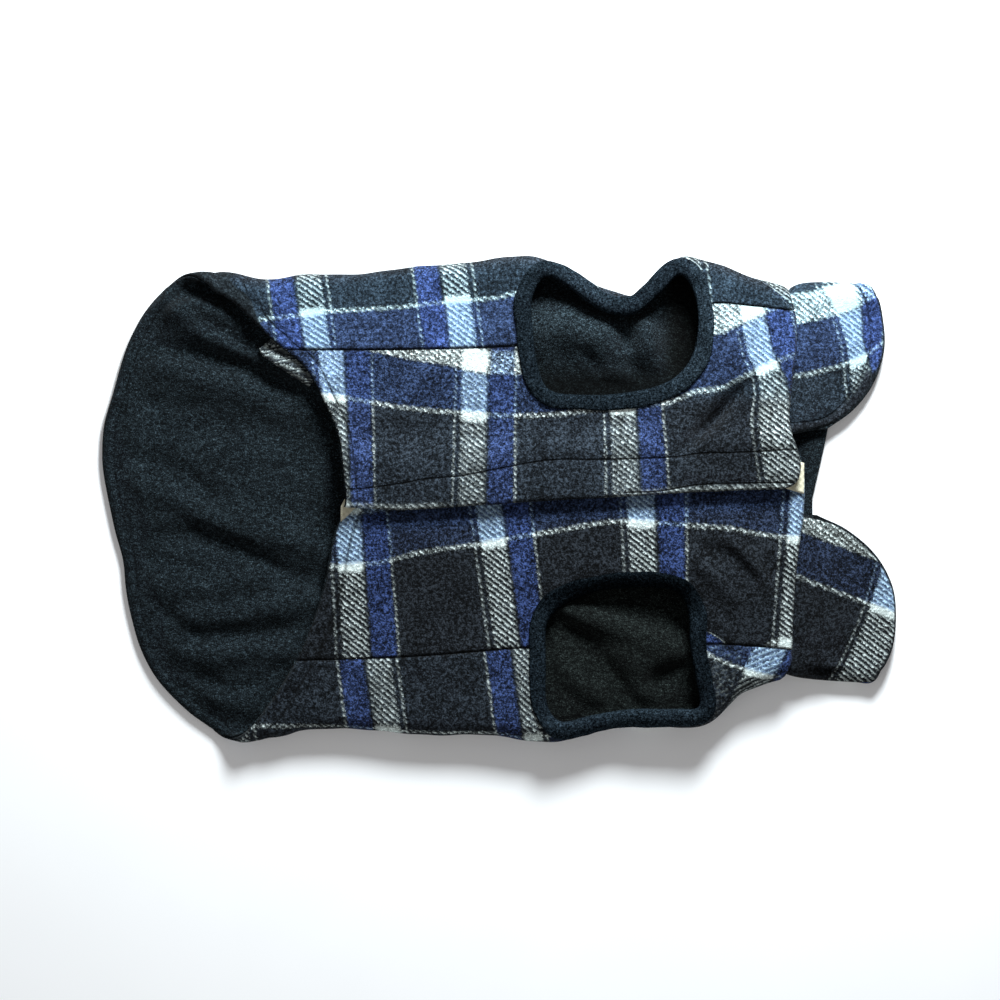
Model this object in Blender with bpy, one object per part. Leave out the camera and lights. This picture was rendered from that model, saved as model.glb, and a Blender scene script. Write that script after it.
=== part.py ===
"""A dog's winter coat of plaid fleece with a black fleece lining, closed and laid flat, belly side up.

The coat is a flattened tube. Its back rests on the surface (z = 0) and runs on past the belly as a round
tail flap at -X. Both sides of the back turn up over soft edges and meet the two fronts at the side seams. The
dog's right front (+Y) laps over its left front (-Y) and closes on hook-and-loop tape. Both leg holes are
bound, and a band collar lies open at the neck, +X.

Every cloth is worked out on one skin: the outer face of the tube, which is given by a station along X and an
unfolded distance from the centre line. A wall takes a depth below that skin, so layers stay parallel.
Lengths in the tables are millimetres; MM turns them into Blender's metres.
"""

import math
from collections import namedtuple

import bmesh
import bpy
from mathutils import Vector

MM = 0.001

# Cloth and gaps
SHELL = 1.6  # plaid fleece
LINING = 1.6  # black fleece
GAP = 0.35  # kept between any two pieces
LOOSE = 0.5  # kept where a piece lies along another one's curve
WALL = SHELL + GAP + LINING
TAPE = 1.0  # each half of the hook-and-loop tape
BINDING = 1.2
BINDING_WIDTH = 8.0
LINING_PEEP = 1.4  # the lining's rim past the shell's, along the belly hem
SEAM_GAP = 0.2  # each side of a seam
OVERLAP = 22.0  # how far the fronts lap
TAPE_WIDTH = 18.0
NECK_TUCK = 3.0  # the collar's turning inside the neck
LAP_RISE = WALL + 2 * TAPE + 3 * LOOSE  # how far the upper lap stands over the lower one
BELOW_LAP = 18.0  # the length over which it rises there

# Mesh density
BACK_COLUMNS = 34
BACK_UNDER_ROWS = 5  # each side of the centre line
FRONT_COLUMNS = 26
FRONT_ROWS = 8
TURN_ROWS = 5
COLLAR_COLUMNS = 5
BINDING_STATIONS = 34

RIGHT, LEFT = 1, -1  # the dog's sides: +Y and -Y

Point = namedtuple("Point", "station value")
Ridge = namedtuple("Ridge", "name path half_width height")
Edge = namedtuple("Edge", "along x y z")

# How far each side's turned edge reaches from the centre line, along the coat
RIGHT_REACH = [
    Point(-200, 113.5), Point(-147, 113.8), Point(-132, 113.0), Point(-118, 110.2), Point(-99, 112.5),
    Point(-77, 112.5), Point(-49, 115.5), Point(-9, 119.5), Point(13, 121.8), Point(23, 120.3),
    Point(31, 117.0), Point(41, 111.0), Point(51, 106.0), Point(61, 103.0), Point(67, 102.2),
    Point(72, 104.5), Point(81, 114.5), Point(91, 121.0), Point(101, 119.8), Point(111, 117.5),
    Point(121, 113.5), Point(131, 109.8), Point(141, 107.0), Point(150, 106.8),
]
LEFT_REACH = [
    Point(-200, 121.5), Point(-129, 121.5), Point(-118, 120.5), Point(-107, 118.5), Point(-99, 116.4),
    Point(-74, 115.0), Point(-44, 118.0), Point(-9, 118.3), Point(21, 121.5), Point(31, 121.3),
    Point(41, 119.0), Point(51, 115.5), Point(61, 114.0), Point(81, 114.3), Point(96, 114.8),
    Point(102, 113.6), Point(108, 110.0), Point(115, 103.5), Point(121, 97.8), Point(129, 94.5),
    Point(141, 91.0), Point(150, 89.3),
]
# Radius of the turned edges, and height of the belly along the centre line
TURN_RADIUS = {
    RIGHT: [
        Point(-200, 7.5), Point(-130, 8.0), Point(-60, 7.5), Point(10, 8.5), Point(60, 8.0), Point(100, 9.0),
        Point(150, 9.5),
    ],
    LEFT: [
        Point(-200, 7.0), Point(-130, 7.0), Point(-60, 7.5), Point(10, 8.5), Point(60, 8.0), Point(100, 9.0),
        Point(150, 9.5),
    ],
}
BELLY_HEIGHT = [
    Point(-90, 15.0), Point(-60, 13.4), Point(0, 13.0), Point(70, 13.2), Point(110, 14.8), Point(150, 16.5),
]

# Rounded end of the tail flap: along X, by the share of the way from the centre line to the turned edge
TAIL_RIGHT = [
    Point(0.0, -196.5), Point(0.12, -198.8), Point(0.21, -199.5), Point(0.35, -198.5), Point(0.5, -194.0),
    Point(0.71, -187.5), Point(0.85, -180.5), Point(0.93, -174.5), Point(1.0, -167.5),
]
TAIL_LEFT = [
    Point(0.0, -196.5), Point(0.14, -193.0), Point(0.27, -189.0), Point(0.4, -187.5), Point(0.53, -184.5),
    Point(0.67, -179.5), Point(0.8, -171.0), Point(0.93, -156.5), Point(1.0, -145.5),
]
# Edge of the lining along the belly hem: along X, by Y
BELLY_HEM = [
    Point(-114.5, -125.0), Point(-107.0, -118.5), Point(-90.0, -107.0), Point(-73.0, -98.0),
    Point(-45.0, -88.0), Point(-20.0, -83.0), Point(-8.0, -79.0), Point(-2.0, -76.5), Point(10.0, -77.5),
    Point(30.0, -80.0), Point(50.0, -88.5), Point(66.0, -97.5), Point(80.0, -114.0), Point(93.0, -127.0),
    Point(99.5, -134.5), Point(106.0, -147.0),
]
# Neck edge of the right side, of the left side, and of the back where it lies on the surface: along X, by Y
NECK_RIGHT = [
    Point(5.0, 142.0), Point(6.5, 146.0), Point(10.5, 149.0), Point(17.0, 150.0), Point(24.0, 148.5),
    Point(32.0, 146.0), Point(40.0, 144.8), Point(50.0, 145.5), Point(65.0, 147.0), Point(77.0, 148.3),
    Point(90.0, 148.0), Point(99.0, 146.0),
]
NECK_LEFT = [
    Point(-84.0, 146.0), Point(-75.0, 146.0), Point(-45.0, 147.5), Point(-18.0, 150.5), Point(-8.0, 152.0),
    Point(8.0, 152.5), Point(18.0, 151.0), Point(27.0, 146.5),
]
NECK_BACK = [
    Point(-84.0, 142.0), Point(-80.0, 136.0), Point(-60.0, 124.0), Point(-30.0, 116.0), Point(0.0, 113.5),
    Point(20.0, 114.5), Point(50.0, 120.5), Point(80.0, 130.5), Point(95.0, 138.5), Point(99.0, 142.0),
]
# Side seams and, past the leg holes, shoulder seams: distance from the centre line along the coat
SEAM_RIGHT = [
    Point(-110, 74.5), Point(-49, 74.5), Point(12, 76.5), Point(60, 82.0), Point(104, 97.0), Point(128, 96.0),
    Point(150, 93.5),
]
SEAM_LEFT = [
    Point(-110, 81.0), Point(-49, 79.0), Point(-9, 76.0), Point(12, 74.5), Point(60, 76.0), Point(104, 72.5),
    Point(128, 73.5), Point(150, 75.5),
]
# Free edge of the upper lap: Y along the coat
LAP_EDGE = [
    Point(-80, -4.0), Point(-49, -5.5), Point(-20, -3.8), Point(20, -1.2), Point(60, 1.0), Point(100, 3.5),
    Point(145, 5.0),
]

# Leg holes, as the inner rim of their binding
LegHole = namedtuple("LegHole", "side rim")
RIGHT_LEG_HOLE = LegHole(RIGHT, [
    (16.5, 99.5), (17.0, 84.0), (19.0, 68.0), (25.5, 54.5), (45.0, 52.0), (66.0, 53.5), (84.0, 58.5),
    (95.0, 69.0), (99.0, 86.0), (97.0, 103.0), (90.0, 111.5), (80.0, 102.0), (68.0, 92.5), (57.0, 92.0),
    (45.0, 97.5), (33.0, 107.0), (23.0, 110.5),
])
LEFT_LEG_HOLE = LegHole(LEFT, [
    (24.0, -62.0), (23.5, -82.0), (24.0, -102.0), (31.0, -111.0), (46.0, -108.0), (66.0, -104.8),
    (88.0, -104.8), (99.5, -103.5), (98.0, -90.0), (95.0, -72.0), (94.5, -57.0), (88.0, -46.5), (70.0, -44.3),
    (50.0, -46.0), (33.0, -52.0),
])
HOLE_CLEARANCE = 3.0  # how far the walls stop short of that rim
TURN_CLEARANCE = 1.8  # more room under the binding where it passes over a turned edge
CUT_FLOOR = 7.0  # the cutters' lowest point, over the under layer

# Folds of the upper layer and of the lining that shows on the tail flap
UPPER_FOLDS = [
    Ridge("hem lift", [(-92, 62), (-80, 30), (-78, 4)], 16.0, 1.8),
    Ridge("shoulder crease", [(116, 52), (100, 35)], 5.0, -1.5),
    Ridge("chest swell", [(98, -30), (120, -46)], 18.0, 2.2),
    Ridge("shoulder swell", [(112, 84), (122, 62)], 13.0, 2.2),
    Ridge("side swell", [(-40, 60), (-5, 62)], 12.0, 1.0),
    Ridge("belly dip", [(-60, -50), (10, -55)], 14.0, -0.9),
]
LINING_FOLDS = [
    Ridge("corner fold", [(-164, 94), (-142, 80), (-122, 73), (-99, 63), (-86, 54)], 6.5, 5.5),
    Ridge("lower fold", [(-91, -50), (-124, -57), (-156, -62)], 8.0, 3.6),
    Ridge("middle fold", [(-84, -28), (-114, -15), (-142, -3)], 6.0, 2.2),
    Ridge("left corner fold", [(-104, -78), (-128, -96), (-142, -100)], 6.0, 2.4),
]

# Collar: its free edge, from the right front end, round the back and up to the left front end.
# Its share of the way along is counted from the front end of each half to the centre of the back.
COLLAR_TURN = 4.3  # radius of its turned edges at the free edge
COLLAR_RIGHT = [
    Edge(0.0, 164.5, 35.5, 8.2), Edge(0.1, 177.5, 44.5, 7.2), Edge(0.2, 188.0, 58.0, 6.2),
    Edge(0.3, 193.5, 75.0, 6.2), Edge(0.4, 192.5, 91.5, 7.4), Edge(0.46, 189.5, 101.5, 8.6),
    Edge(0.58, 181.5, 101.5, 0.0), Edge(0.68, 174.5, 81.0, 0.0), Edge(0.78, 169.0, 57.0, 0.0),
    Edge(0.89, 164.5, 31.0, 0.0), Edge(1.0, 157.5, 0.0, 0.0),
]
COLLAR_LEFT = [
    Edge(0.0, 159.5, -8.5, 8.6), Edge(0.08, 174.5, -15.5, 7.8), Edge(0.16, 189.0, -28.0, 6.0),
    Edge(0.24, 197.5, -43.0, 4.6), Edge(0.32, 199.5, -58.0, 4.6), Edge(0.4, 197.5, -74.5, 6.6),
    Edge(0.46, 191.5, -86.0, 8.6), Edge(0.58, 183.5, -86.0, 0.0), Edge(0.68, 174.0, -67.0, 0.0),
    Edge(0.79, 165.0, -44.0, 0.0), Edge(0.9, 158.5, -20.0, 0.0), Edge(1.0, 157.5, 0.0, 0.0),
]
COLLAR_FRONT = {RIGHT: 31.5, LEFT: 7.0}  # where its front ends meet the neck, from the centre line
COLLAR_UP, COLLAR_DOWN = 0.46, 0.58  # shares of the way at the two ends of its turned edge
COLLAR_SWELL = {RIGHT: 4.3, LEFT: 2.2}  # how far the turned edge bellies out, just past the neck

MATERIALS = {
    "plaid": ((0.035, 0.042, 0.075), 0.95),
    "lining": ((0.012, 0.014, 0.017), 0.97),
    "tape": ((0.78, 0.77, 0.66), 0.85),
}


# ---------------------------------------------------------------- curves and small sums
def smooth_curve(points):
    """A function through the points, with no corner at any of them."""
    stations = [p.station for p in points]
    values = [p.value for p in points]

    def slope(i):
        low, high = max(i - 1, 0), min(i + 1, len(points) - 1)
        return (values[high] - values[low]) / (stations[high] - stations[low])

    def at(station):
        if station <= stations[0]:
            return values[0]
        if station >= stations[-1]:
            return values[-1]
        i = next(k for k in range(len(points) - 1) if station <= stations[k + 1])
        span = stations[i + 1] - stations[i]
        t = (station - stations[i]) / span
        bend_in, bend_out = slope(i) * span, slope(i + 1) * span
        return (
            values[i] * (2 * t**3 - 3 * t**2 + 1)
            + bend_in * (t**3 - 2 * t**2 + t)
            + values[i + 1] * (3 * t**2 - 2 * t**3)
            + bend_out * (t**3 - t**2)
        )

    return at


def ease(t):
    t = min(max(t, 0.0), 1.0)
    return t * t * (3 - 2 * t)


def mix(a, b, t):
    return a + (b - a) * t


def height_of(folds, x, y):
    """Sum of the folds at a place: each one is a rounded ridge or trough along its path."""
    here, total = Vector((x, y)), 0.0
    for fold in folds:
        path = [Vector(p) for p in fold.path]
        away = min(distance_to_segment(here, a, b) for a, b in zip(path, path[1:]))
        total += fold.height * math.exp(-((away / fold.half_width) ** 2))
    return total


def distance_to_segment(p, a, b):
    along = b - a
    t = min(max((p - a).dot(along) / along.length_squared, 0.0), 1.0)
    return (p - a - along * t).length


reach_of = {RIGHT: smooth_curve(RIGHT_REACH), LEFT: smooth_curve(LEFT_REACH)}
radius_of = {side: smooth_curve(points) for side, points in TURN_RADIUS.items()}
tail_of = {RIGHT: smooth_curve(TAIL_RIGHT), LEFT: smooth_curve(TAIL_LEFT)}
neck_of = {RIGHT: smooth_curve(NECK_RIGHT), LEFT: smooth_curve(NECK_LEFT)}
seam_of = {RIGHT: smooth_curve(SEAM_RIGHT), LEFT: smooth_curve(SEAM_LEFT)}
belly_height = smooth_curve(BELLY_HEIGHT)
belly_hem = smooth_curve(BELLY_HEM)
neck_back = smooth_curve(NECK_BACK)
lap_edge = smooth_curve(LAP_EDGE)


# ---------------------------------------------------------------- the skin
def turn_start(side, x):
    """Distance from the centre line at which the layers begin to turn over the side."""
    return reach_of[side](x) - radius_of[side](x)


def upper_height(x, y):
    """Height of the outer face of the upper layer."""
    side = RIGHT if y >= 0 else LEFT
    start, top = turn_start(side, x), 2 * radius_of[side](x)
    inward = start - abs(y)
    relief = height_of(UPPER_FOLDS, x, y) * ease(inward / 12.0)
    return top + (belly_height(x) - top) * ease(inward / start) + relief


def skin(side, x, unfolded, lap=0.0):
    """A point of the outer face. unfolded is the distance from the centre line, on round the turned edge."""
    start, radius = turn_start(side, x), radius_of[side](x)
    past = unfolded - start
    if past <= 0:
        rise = lap * ease((lap_edge(x) + OVERLAP + BELOW_LAP - side * unfolded) / BELOW_LAP)
        return Vector((x, side * unfolded, upper_height(x, side * unfolded) + rise))
    if past < math.pi * radius:
        angle = past / radius
        return Vector((x, side * (start + radius * math.sin(angle)), radius + radius * math.cos(angle)))
    return Vector((x, side * (start - past + math.pi * radius), 0.0))


def below_skin(side, x, unfolded, depth, lap=0.0):
    """The point at that depth under the outer face, straight in from it."""
    step = 0.4
    along = skin(side, x + step, unfolded, lap) - skin(side, x - step, unfolded, lap)
    across = skin(side, x, unfolded + step, lap) - skin(side, x, unfolded - step, lap)
    outward = along.cross(across).normalized() * side
    return skin(side, x, unfolded, lap) - outward * depth


# ---------------------------------------------------------------- building helpers
def material(name):
    made = bpy.data.materials.new(name)
    made.use_nodes = True
    shader = made.node_tree.nodes["Principled BSDF"]
    colour, roughness = MATERIALS[name]
    shader.inputs["Base Color"].default_value = (*colour, 1.0)
    shader.inputs["Roughness"].default_value = roughness
    shader.inputs["Metallic"].default_value = 0.0
    return made


def add_object(name, bm, cloth):
    bmesh.ops.recalc_face_normals(bm, faces=bm.faces)
    mesh = bpy.data.meshes.new(name)
    bm.to_mesh(mesh)
    bm.free()
    mesh.materials.append(cloth)
    mesh.shade_smooth()
    obj = bpy.data.objects.new(name, mesh)
    coat.objects.link(obj)
    return obj


def cloth_wall(name, columns, rows, place, outer, inner, cloth):
    """A closed wall: a grid laid on the face at depth outer, and extruded to the face at depth inner."""
    bm = bmesh.new()
    bmesh.ops.create_grid(bm, x_segments=columns, y_segments=rows, size=0.5)
    grid = list(bm.verts)
    share = [(v.co.x + 0.5, v.co.y + 0.5) for v in grid]
    made = bmesh.ops.extrude_face_region(bm, geom=bm.faces[:])
    other = [v for v in made["geom"] if isinstance(v, bmesh.types.BMVert)]
    for v in other:
        v.co = place(v.co.x + 0.5, v.co.y + 0.5, inner) * MM
    for v, (along, across) in zip(grid, share):
        v.co = place(along, across, outer) * MM
    return add_object(name, bm, cloth)


def cut(obj, *cutters):
    for cutter in cutters:
        boolean = obj.modifiers.new(cutter.name, "BOOLEAN")
        boolean.operation = "DIFFERENCE"
        boolean.solver = "EXACT"
        boolean.object = cutter


# ---------------------------------------------------------------- back
def back_rows(under_rows, upper_rows):
    """The back's rows from the left seam, under the coat, to the right one: (side, zone, share of it)."""
    half = [("upper", 1 - k / upper_rows) for k in range(upper_rows)]
    half += [("turn", k / TURN_ROWS) for k in range(TURN_ROWS)]
    half += [("under", 1 - k / under_rows) for k in range(under_rows)]
    left, right = [(LEFT, *row) for row in half], [(RIGHT, *row) for row in reversed(half)]
    return left + [(RIGHT, "under", 0.0)] + right


def unfolded_at(side, x, zone, share):
    start, radius = turn_start(side, x), radius_of[side](x)
    if zone == "upper":
        return mix(start, seam_of[side](x) + SEAM_GAP, share)
    if zone == "turn":
        return start + math.pi * radius * share
    return start + math.pi * radius + start * (1 - share)


def back_ends(side, zone, share):
    """Where a row of the back begins and ends, along X."""
    hem, neck = belly_hem(side * turn_start(side, -130)), neck_back(side * turn_start(side, 142))
    if zone == "under":
        return tail_of[side](share), neck_back(side * share * turn_start(side, 135))
    if zone == "turn":
        neck_top = neck_of[side](side * turn_start(side, 146))
        return mix(hem, tail_of[side](1.0), share), mix(neck_top, neck, share)
    ends = []
    for x, edge in ((-120.0, belly_hem), (146.0, neck_of[side])):
        for _ in range(6):
            x = edge(side * unfolded_at(side, x, zone, share))
        ends.append(x)
    return ends


def back_place(rows, peep):
    ends = [back_ends(*row) for row in rows]

    def place(along, across, depth):
        i = round(across * (len(rows) - 1))
        side, zone, share = rows[i]
        hem, neck = ends[i]
        column = along * (BACK_COLUMNS + (1 if peep else 0))
        if peep and column < 0.5:
            x = hem
        else:
            set_back = {"upper": LINING_PEEP, "turn": LINING_PEEP * (1 - share), "under": 0.6}[zone]
            x = mix(hem + set_back, neck, (column - (1 if peep else 0)) / BACK_COLUMNS)
        point = below_skin(side, x, unfolded_at(side, x, zone, share), depth)
        if peep and zone == "under":
            from_turn = (1 - share) * turn_start(side, x)
            shown = ease((x - hem) / 14.0) * ease(from_turn / 8.0) * ease((-74.0 - x) / 10.0)
            point.z += height_of(LINING_FOLDS, x, point.y) * shown
        return point

    return place


def make_back(plaid, lining, cutters):
    rows = back_rows(BACK_UNDER_ROWS, 2)
    strips, place = len(rows) - 1, back_place(rows, False)
    shell = cloth_wall("back_shell", BACK_COLUMNS, strips, place, 0.0, SHELL, plaid)
    place = back_place(rows, True)
    inside = cloth_wall("back_lining", BACK_COLUMNS + 1, strips, place, SHELL + GAP, WALL, lining)
    cut(shell, *cutters)
    cut(inside, *cutters)


# ---------------------------------------------------------------- fronts
def front_place(side, peep):
    """The right front ends at the upper lap's edge, the left front runs on under it."""
    lap = LAP_RISE if side == RIGHT else 0.0

    def y_at(x, across):
        seam = side * (seam_of[side](x) - SEAM_GAP)
        if side == LEFT:
            return mix(seam, lap_edge(x) + OVERLAP, across)
        row, lap_end = round(across * FRONT_ROWS), lap_edge(x) + OVERLAP
        if row >= FRONT_ROWS - 2:
            return mix(lap_end, lap_edge(x), (row - FRONT_ROWS + 2) / 2)
        if row >= FRONT_ROWS - 4:
            return mix(lap_end + BELOW_LAP, lap_end, (row - FRONT_ROWS + 4) / 2)
        return mix(seam, lap_end + BELOW_LAP, row / (FRONT_ROWS - 4))

    def end(x, edge, across):
        for _ in range(8):
            x = edge(y_at(x, across))
        return x

    def place(along, across, depth):
        hem, neck = end(-90.0, belly_hem, across), end(148.0, neck_of[side], across)
        column = along * (FRONT_COLUMNS + (1 if peep else 0))
        if peep and column < 0.5:
            x = hem
        else:
            x = mix(hem + LINING_PEEP, neck, (column - (1 if peep else 0)) / FRONT_COLUMNS)
        return below_skin(side, x, side * y_at(x, across), depth, lap)

    return place


def make_fronts(plaid, lining, cutters):
    for side, name, cutter in ((RIGHT, "right_front", cutters[0]), (LEFT, "left_front", cutters[1])):
        place = front_place(side, False)
        shell = cloth_wall(name + "_shell", FRONT_COLUMNS, FRONT_ROWS, place, 0.0, SHELL, plaid)
        place = front_place(side, True)
        inside = cloth_wall(name + "_lining", FRONT_COLUMNS + 1, FRONT_ROWS, place, SHELL + GAP, WALL, lining)
        cut(shell, cutter)
        cut(inside, cutter)


def tape_strip(name, low, high, bottom, start, finish, cloth):
    """A strip between the laps, from low to high past the lap's edge; bottom is its height over the cloth."""

    def place(along, across, lift):
        x = mix(start, finish, along)
        y = lap_edge(x) + mix(low(x), high(x), across)
        return below_skin(RIGHT if y >= 0 else LEFT, x, abs(y), -lift)

    cloth_wall(name, FRONT_COLUMNS, 2, place, bottom + TAPE, bottom, cloth)


def make_tapes(cloth):
    loop_low = smooth_curve([
        Point(-81, -9.0), Point(-76, -4.5), Point(-71, 0.5), Point(-60, 2.5), Point(125, 2.5), Point(138, 1.5),
        Point(152, -2.5),
    ])
    loop_high = smooth_curve([Point(-81, 20.0), Point(120, 20.0), Point(152, 13.0)])
    tape_strip("loop_tape", loop_low, loop_high, LOOSE, -79.0, 152.0, cloth)
    hook_low, hook_high = (lambda x: 2.5), (lambda x: 0.5 + TAPE_WIDTH)
    tape_strip("hook_tape", hook_low, hook_high, 2 * LOOSE + TAPE, -72.0, 141.0, cloth)


# ---------------------------------------------------------------- leg holes
def closed_curve(points, count):
    """count points round a smooth loop through the given ones."""
    n = len(points)
    made = []
    for k in range(count):
        at = k * n / count
        i, t = int(at), at - int(at)
        p0, p1, p2, p3 = (Vector(points[(i + j) % n]) for j in (-1, 0, 1, 2))
        square, cube = 2 * p0 - 5 * p1 + 4 * p2 - p3, 3 * p1 - p0 - 3 * p2 + p3
        made.append(0.5 * (2 * p1 + (p2 - p0) * t + square * t**2 + cube * t**3))
    return made


def outward_of(loop):
    """For each point of the loop, the direction away from the hole."""
    n = len(loop)
    turning = sum(loop[k].x * loop[(k + 1) % n].y - loop[(k + 1) % n].x * loop[k].y for k in range(n))
    way = 1 if turning > 0 else -1
    tangents = [(loop[(k + 1) % n] - loop[k - 1]).normalized() for k in range(n)]
    return [Vector((t.y, -t.x)) * way for t in tangents]


def hole_cutter(name, hole):
    """A prism over the hole, a little larger than its bound rim."""
    loop = closed_curve(hole.rim, 2 * len(hole.rim))
    outline = [p + d * HOLE_CLEARANCE for p, d in zip(loop, outward_of(loop))]
    curve = bpy.data.curves.new(name, "CURVE")
    curve.dimensions = "2D"
    curve.fill_mode = "BOTH"
    curve.extrude = 15 * MM
    spline = curve.splines.new("POLY")
    spline.points.add(len(outline) - 1)
    for point, place in zip(spline.points, outline):
        point.co = (place.x * MM, place.y * MM, 0.0, 1.0)
    spline.use_cyclic_u = True
    shape = bpy.data.objects.new(name + "_outline", curve)
    shape.location.z = CUT_FLOOR * MM + curve.extrude
    cutters.objects.link(shape)
    bpy.context.view_layer.update()
    mesh = bpy.data.meshes.new_from_object(shape.evaluated_get(bpy.context.evaluated_depsgraph_get()))
    cutter = bpy.data.objects.new(name, mesh)
    cutter.matrix_world = shape.matrix_world
    bpy.data.objects.remove(shape)
    bm = bmesh.new()
    bm.from_mesh(mesh)
    bmesh.ops.remove_doubles(bm, verts=bm.verts, dist=1e-6)
    bmesh.ops.recalc_face_normals(bm, faces=bm.faces)
    bm.to_mesh(mesh)
    bm.free()
    cutter.hide_render = True
    cutter.display_type = "WIRE"
    cutters.objects.link(cutter)
    return cutter


def binding_profile():
    """The binding's section, wrapped round the walls' edge: (out from the rim, depth under the skin)."""
    width, under = BINDING_WIDTH, WALL + LOOSE
    return [
        (width, -GAP), (width, -GAP - 0.7 * BINDING), (0.7 * width, -GAP - 1.2 * BINDING),
        (0.3 * width, -GAP - 1.2 * BINDING),
        (0.06 * width, 0.1), (0.0, 0.5 * WALL), (0.1 * width, under + 0.4), (0.4 * width, under + BINDING),
        (0.8 * width, under + BINDING), (0.8 * width, under),
        (HOLE_CLEARANCE - 1.2, under), (HOLE_CLEARANCE - 1.2, -GAP),
    ]


def make_binding(name, hole, cloth):
    loop = closed_curve(hole.rim, BINDING_STATIONS)
    away = outward_of(loop)
    profile = binding_profile()
    stations, points = len(loop), len(profile)
    bm = bmesh.new()
    rings = []
    for centre, out in zip(loop, away):
        ring = []
        for reach, depth in profile:
            place = centre + out * reach
            unfolded = hole.side * place.y
            room = TURN_CLEARANCE * ease((unfolded - turn_start(hole.side, place.x) + 6.0) / 6.0)
            depth += -room if depth <= 0 else 0.6 * room if depth > WALL else 0.0
            ring.append(bm.verts.new(below_skin(hole.side, place.x, unfolded, depth) * MM))
        rings.append(ring)
    edges = []
    for ring in rings:
        edges.append([bm.edges.new((ring[k], ring[(k + 1) % points])) for k in range(points)])
    for k in range(stations):
        bmesh.ops.bridge_loops(bm, edges=edges[k] + edges[(k + 1) % stations])
    add_object(name, bm, cloth)


# ---------------------------------------------------------------- collar
def edge_curves(points):
    columns = ([p.x for p in points], [p.y for p in points], [p.z for p in points])
    return [smooth_curve([Point(p.along, value) for p, value in zip(points, column)]) for column in columns]


collar_edge = {RIGHT: edge_curves(COLLAR_RIGHT), LEFT: edge_curves(COLLAR_LEFT)}


def collar_seam(side, along):
    """The collar's turning inside the neck, for a share of the way from a front end to the back's centre."""
    start = turn_start(side, 142.0)
    if along <= COLLAR_UP:
        y = mix(COLLAR_FRONT[side], start, along / COLLAR_UP)
        x = neck_of[side](side * y)
        return x, y
    if along <= COLLAR_DOWN:
        share = (along - COLLAR_UP) / (COLLAR_DOWN - COLLAR_UP)
        x = mix(neck_of[side](side * start), neck_back(side * start), share)
        return x, turn_start(side, x - NECK_TUCK) + math.pi * radius_of[side](x - NECK_TUCK) * share
    y = start * (1 - (along - COLLAR_DOWN) / (1 - COLLAR_DOWN))
    x = neck_back(side * y)
    return x, 2 * turn_start(side, x - NECK_TUCK) + math.pi * radius_of[side](x - NECK_TUCK) - y


def collar_skin(side, along, across):
    """Outer face of the collar: across 0 is inside the neck, 1 is the free edge."""
    x, unfolded = collar_seam(side, along)
    turned = ease((along - COLLAR_UP + 0.06) / 0.06) * ease((COLLAR_DOWN + 0.06 - along) / 0.06)
    seam = below_skin(side, x - NECK_TUCK, unfolded, WALL + GAP + 0.6 * turned)
    seam.y -= side * turned * max(turn_start(side, x - NECK_TUCK) - turn_start(side, x + 1.5), 0.0)
    edge = Vector(curve(along) for curve in collar_edge[side])
    edge.z = 0.0 if along >= COLLAR_DOWN else edge.z
    if COLLAR_UP < along < COLLAR_DOWN:
        angle = math.pi * (along - COLLAR_UP) / (COLLAR_DOWN - COLLAR_UP)
        edge.y += side * COLLAR_TURN * math.sin(angle)
        edge.z = COLLAR_TURN * (1 + math.cos(angle))
    clear = (x + 1.5 - seam.x) / max((edge - seam).length, 1.0)
    first = 1 / COLLAR_COLUMNS
    across = clear * across / first if across <= first else mix(clear, 1.0, (across - first) / (1 - first))
    point = seam.lerp(edge, across)
    past_neck = math.sqrt(min(max((across - clear) / (1 - clear), 0.0), 1.0))
    near_turn = ease((along - COLLAR_UP + 0.12) / 0.12) * ease((COLLAR_DOWN + 0.14 - along) / 0.14)
    point.y += side * COLLAR_SWELL[side] * near_turn * math.sin(math.pi * past_neck)
    drop = (across - clear) / 0.32 if along > COLLAR_UP else across / 0.8
    point.z = mix(seam.z, edge.z, ease(drop))
    return point


def collar_place(along, across, depth):
    """along runs from the right front end, 0, over the centre of the back, 0.5, to the left front end, 1."""

    def at(a, b):
        side = RIGHT if a <= 0.5 else LEFT
        return collar_skin(side, 2 * a if side == RIGHT else 2 * (1 - a), b)

    step = 0.004
    low, high = max(along - step, 0.0), min(along + step, 1.0)
    inner, outer = max(across - 0.02, 0.0), min(across + 0.02, 1.0)
    outward = (at(along, outer) - at(along, inner)).cross(at(high, across) - at(low, across)).normalized()
    return at(along, across) - outward * depth


def make_collar(plaid, lining):
    stations = collar_stations()

    def place(across, along, depth):
        return collar_place(stations[round(along * (len(stations) - 1))], across, depth)

    cloth_wall("collar_shell", COLLAR_COLUMNS, len(stations) - 1, place, 0.0, SHELL, plaid)
    cloth_wall("collar_lining", COLLAR_COLUMNS, len(stations) - 1, place, SHELL + GAP, WALL, lining)


def collar_stations():
    """Stations along the collar: even on its flat stretches, closer over its turned edges."""
    half = [COLLAR_UP * k / 8 for k in range(8)]
    half += [mix(COLLAR_UP, COLLAR_DOWN, k / 5) for k in range(5)]
    half += [mix(COLLAR_DOWN, 1.0, k / 6) for k in range(6)]
    return [k / 2 for k in half] + [0.5] + [1 - k / 2 for k in reversed(half)]


def main():
    plaid, lining, tape = material("plaid"), material("lining"), material("tape")
    hole_cutters = [
        hole_cutter("right_leg_cutter", RIGHT_LEG_HOLE),
        hole_cutter("left_leg_cutter", LEFT_LEG_HOLE),
    ]
    make_back(plaid, lining, hole_cutters)
    make_fronts(plaid, lining, hole_cutters)
    make_tapes(tape)
    make_binding("right_leg_binding", RIGHT_LEG_HOLE, lining)
    make_binding("left_leg_binding", LEFT_LEG_HOLE, lining)
    make_collar(plaid, lining)


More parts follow.
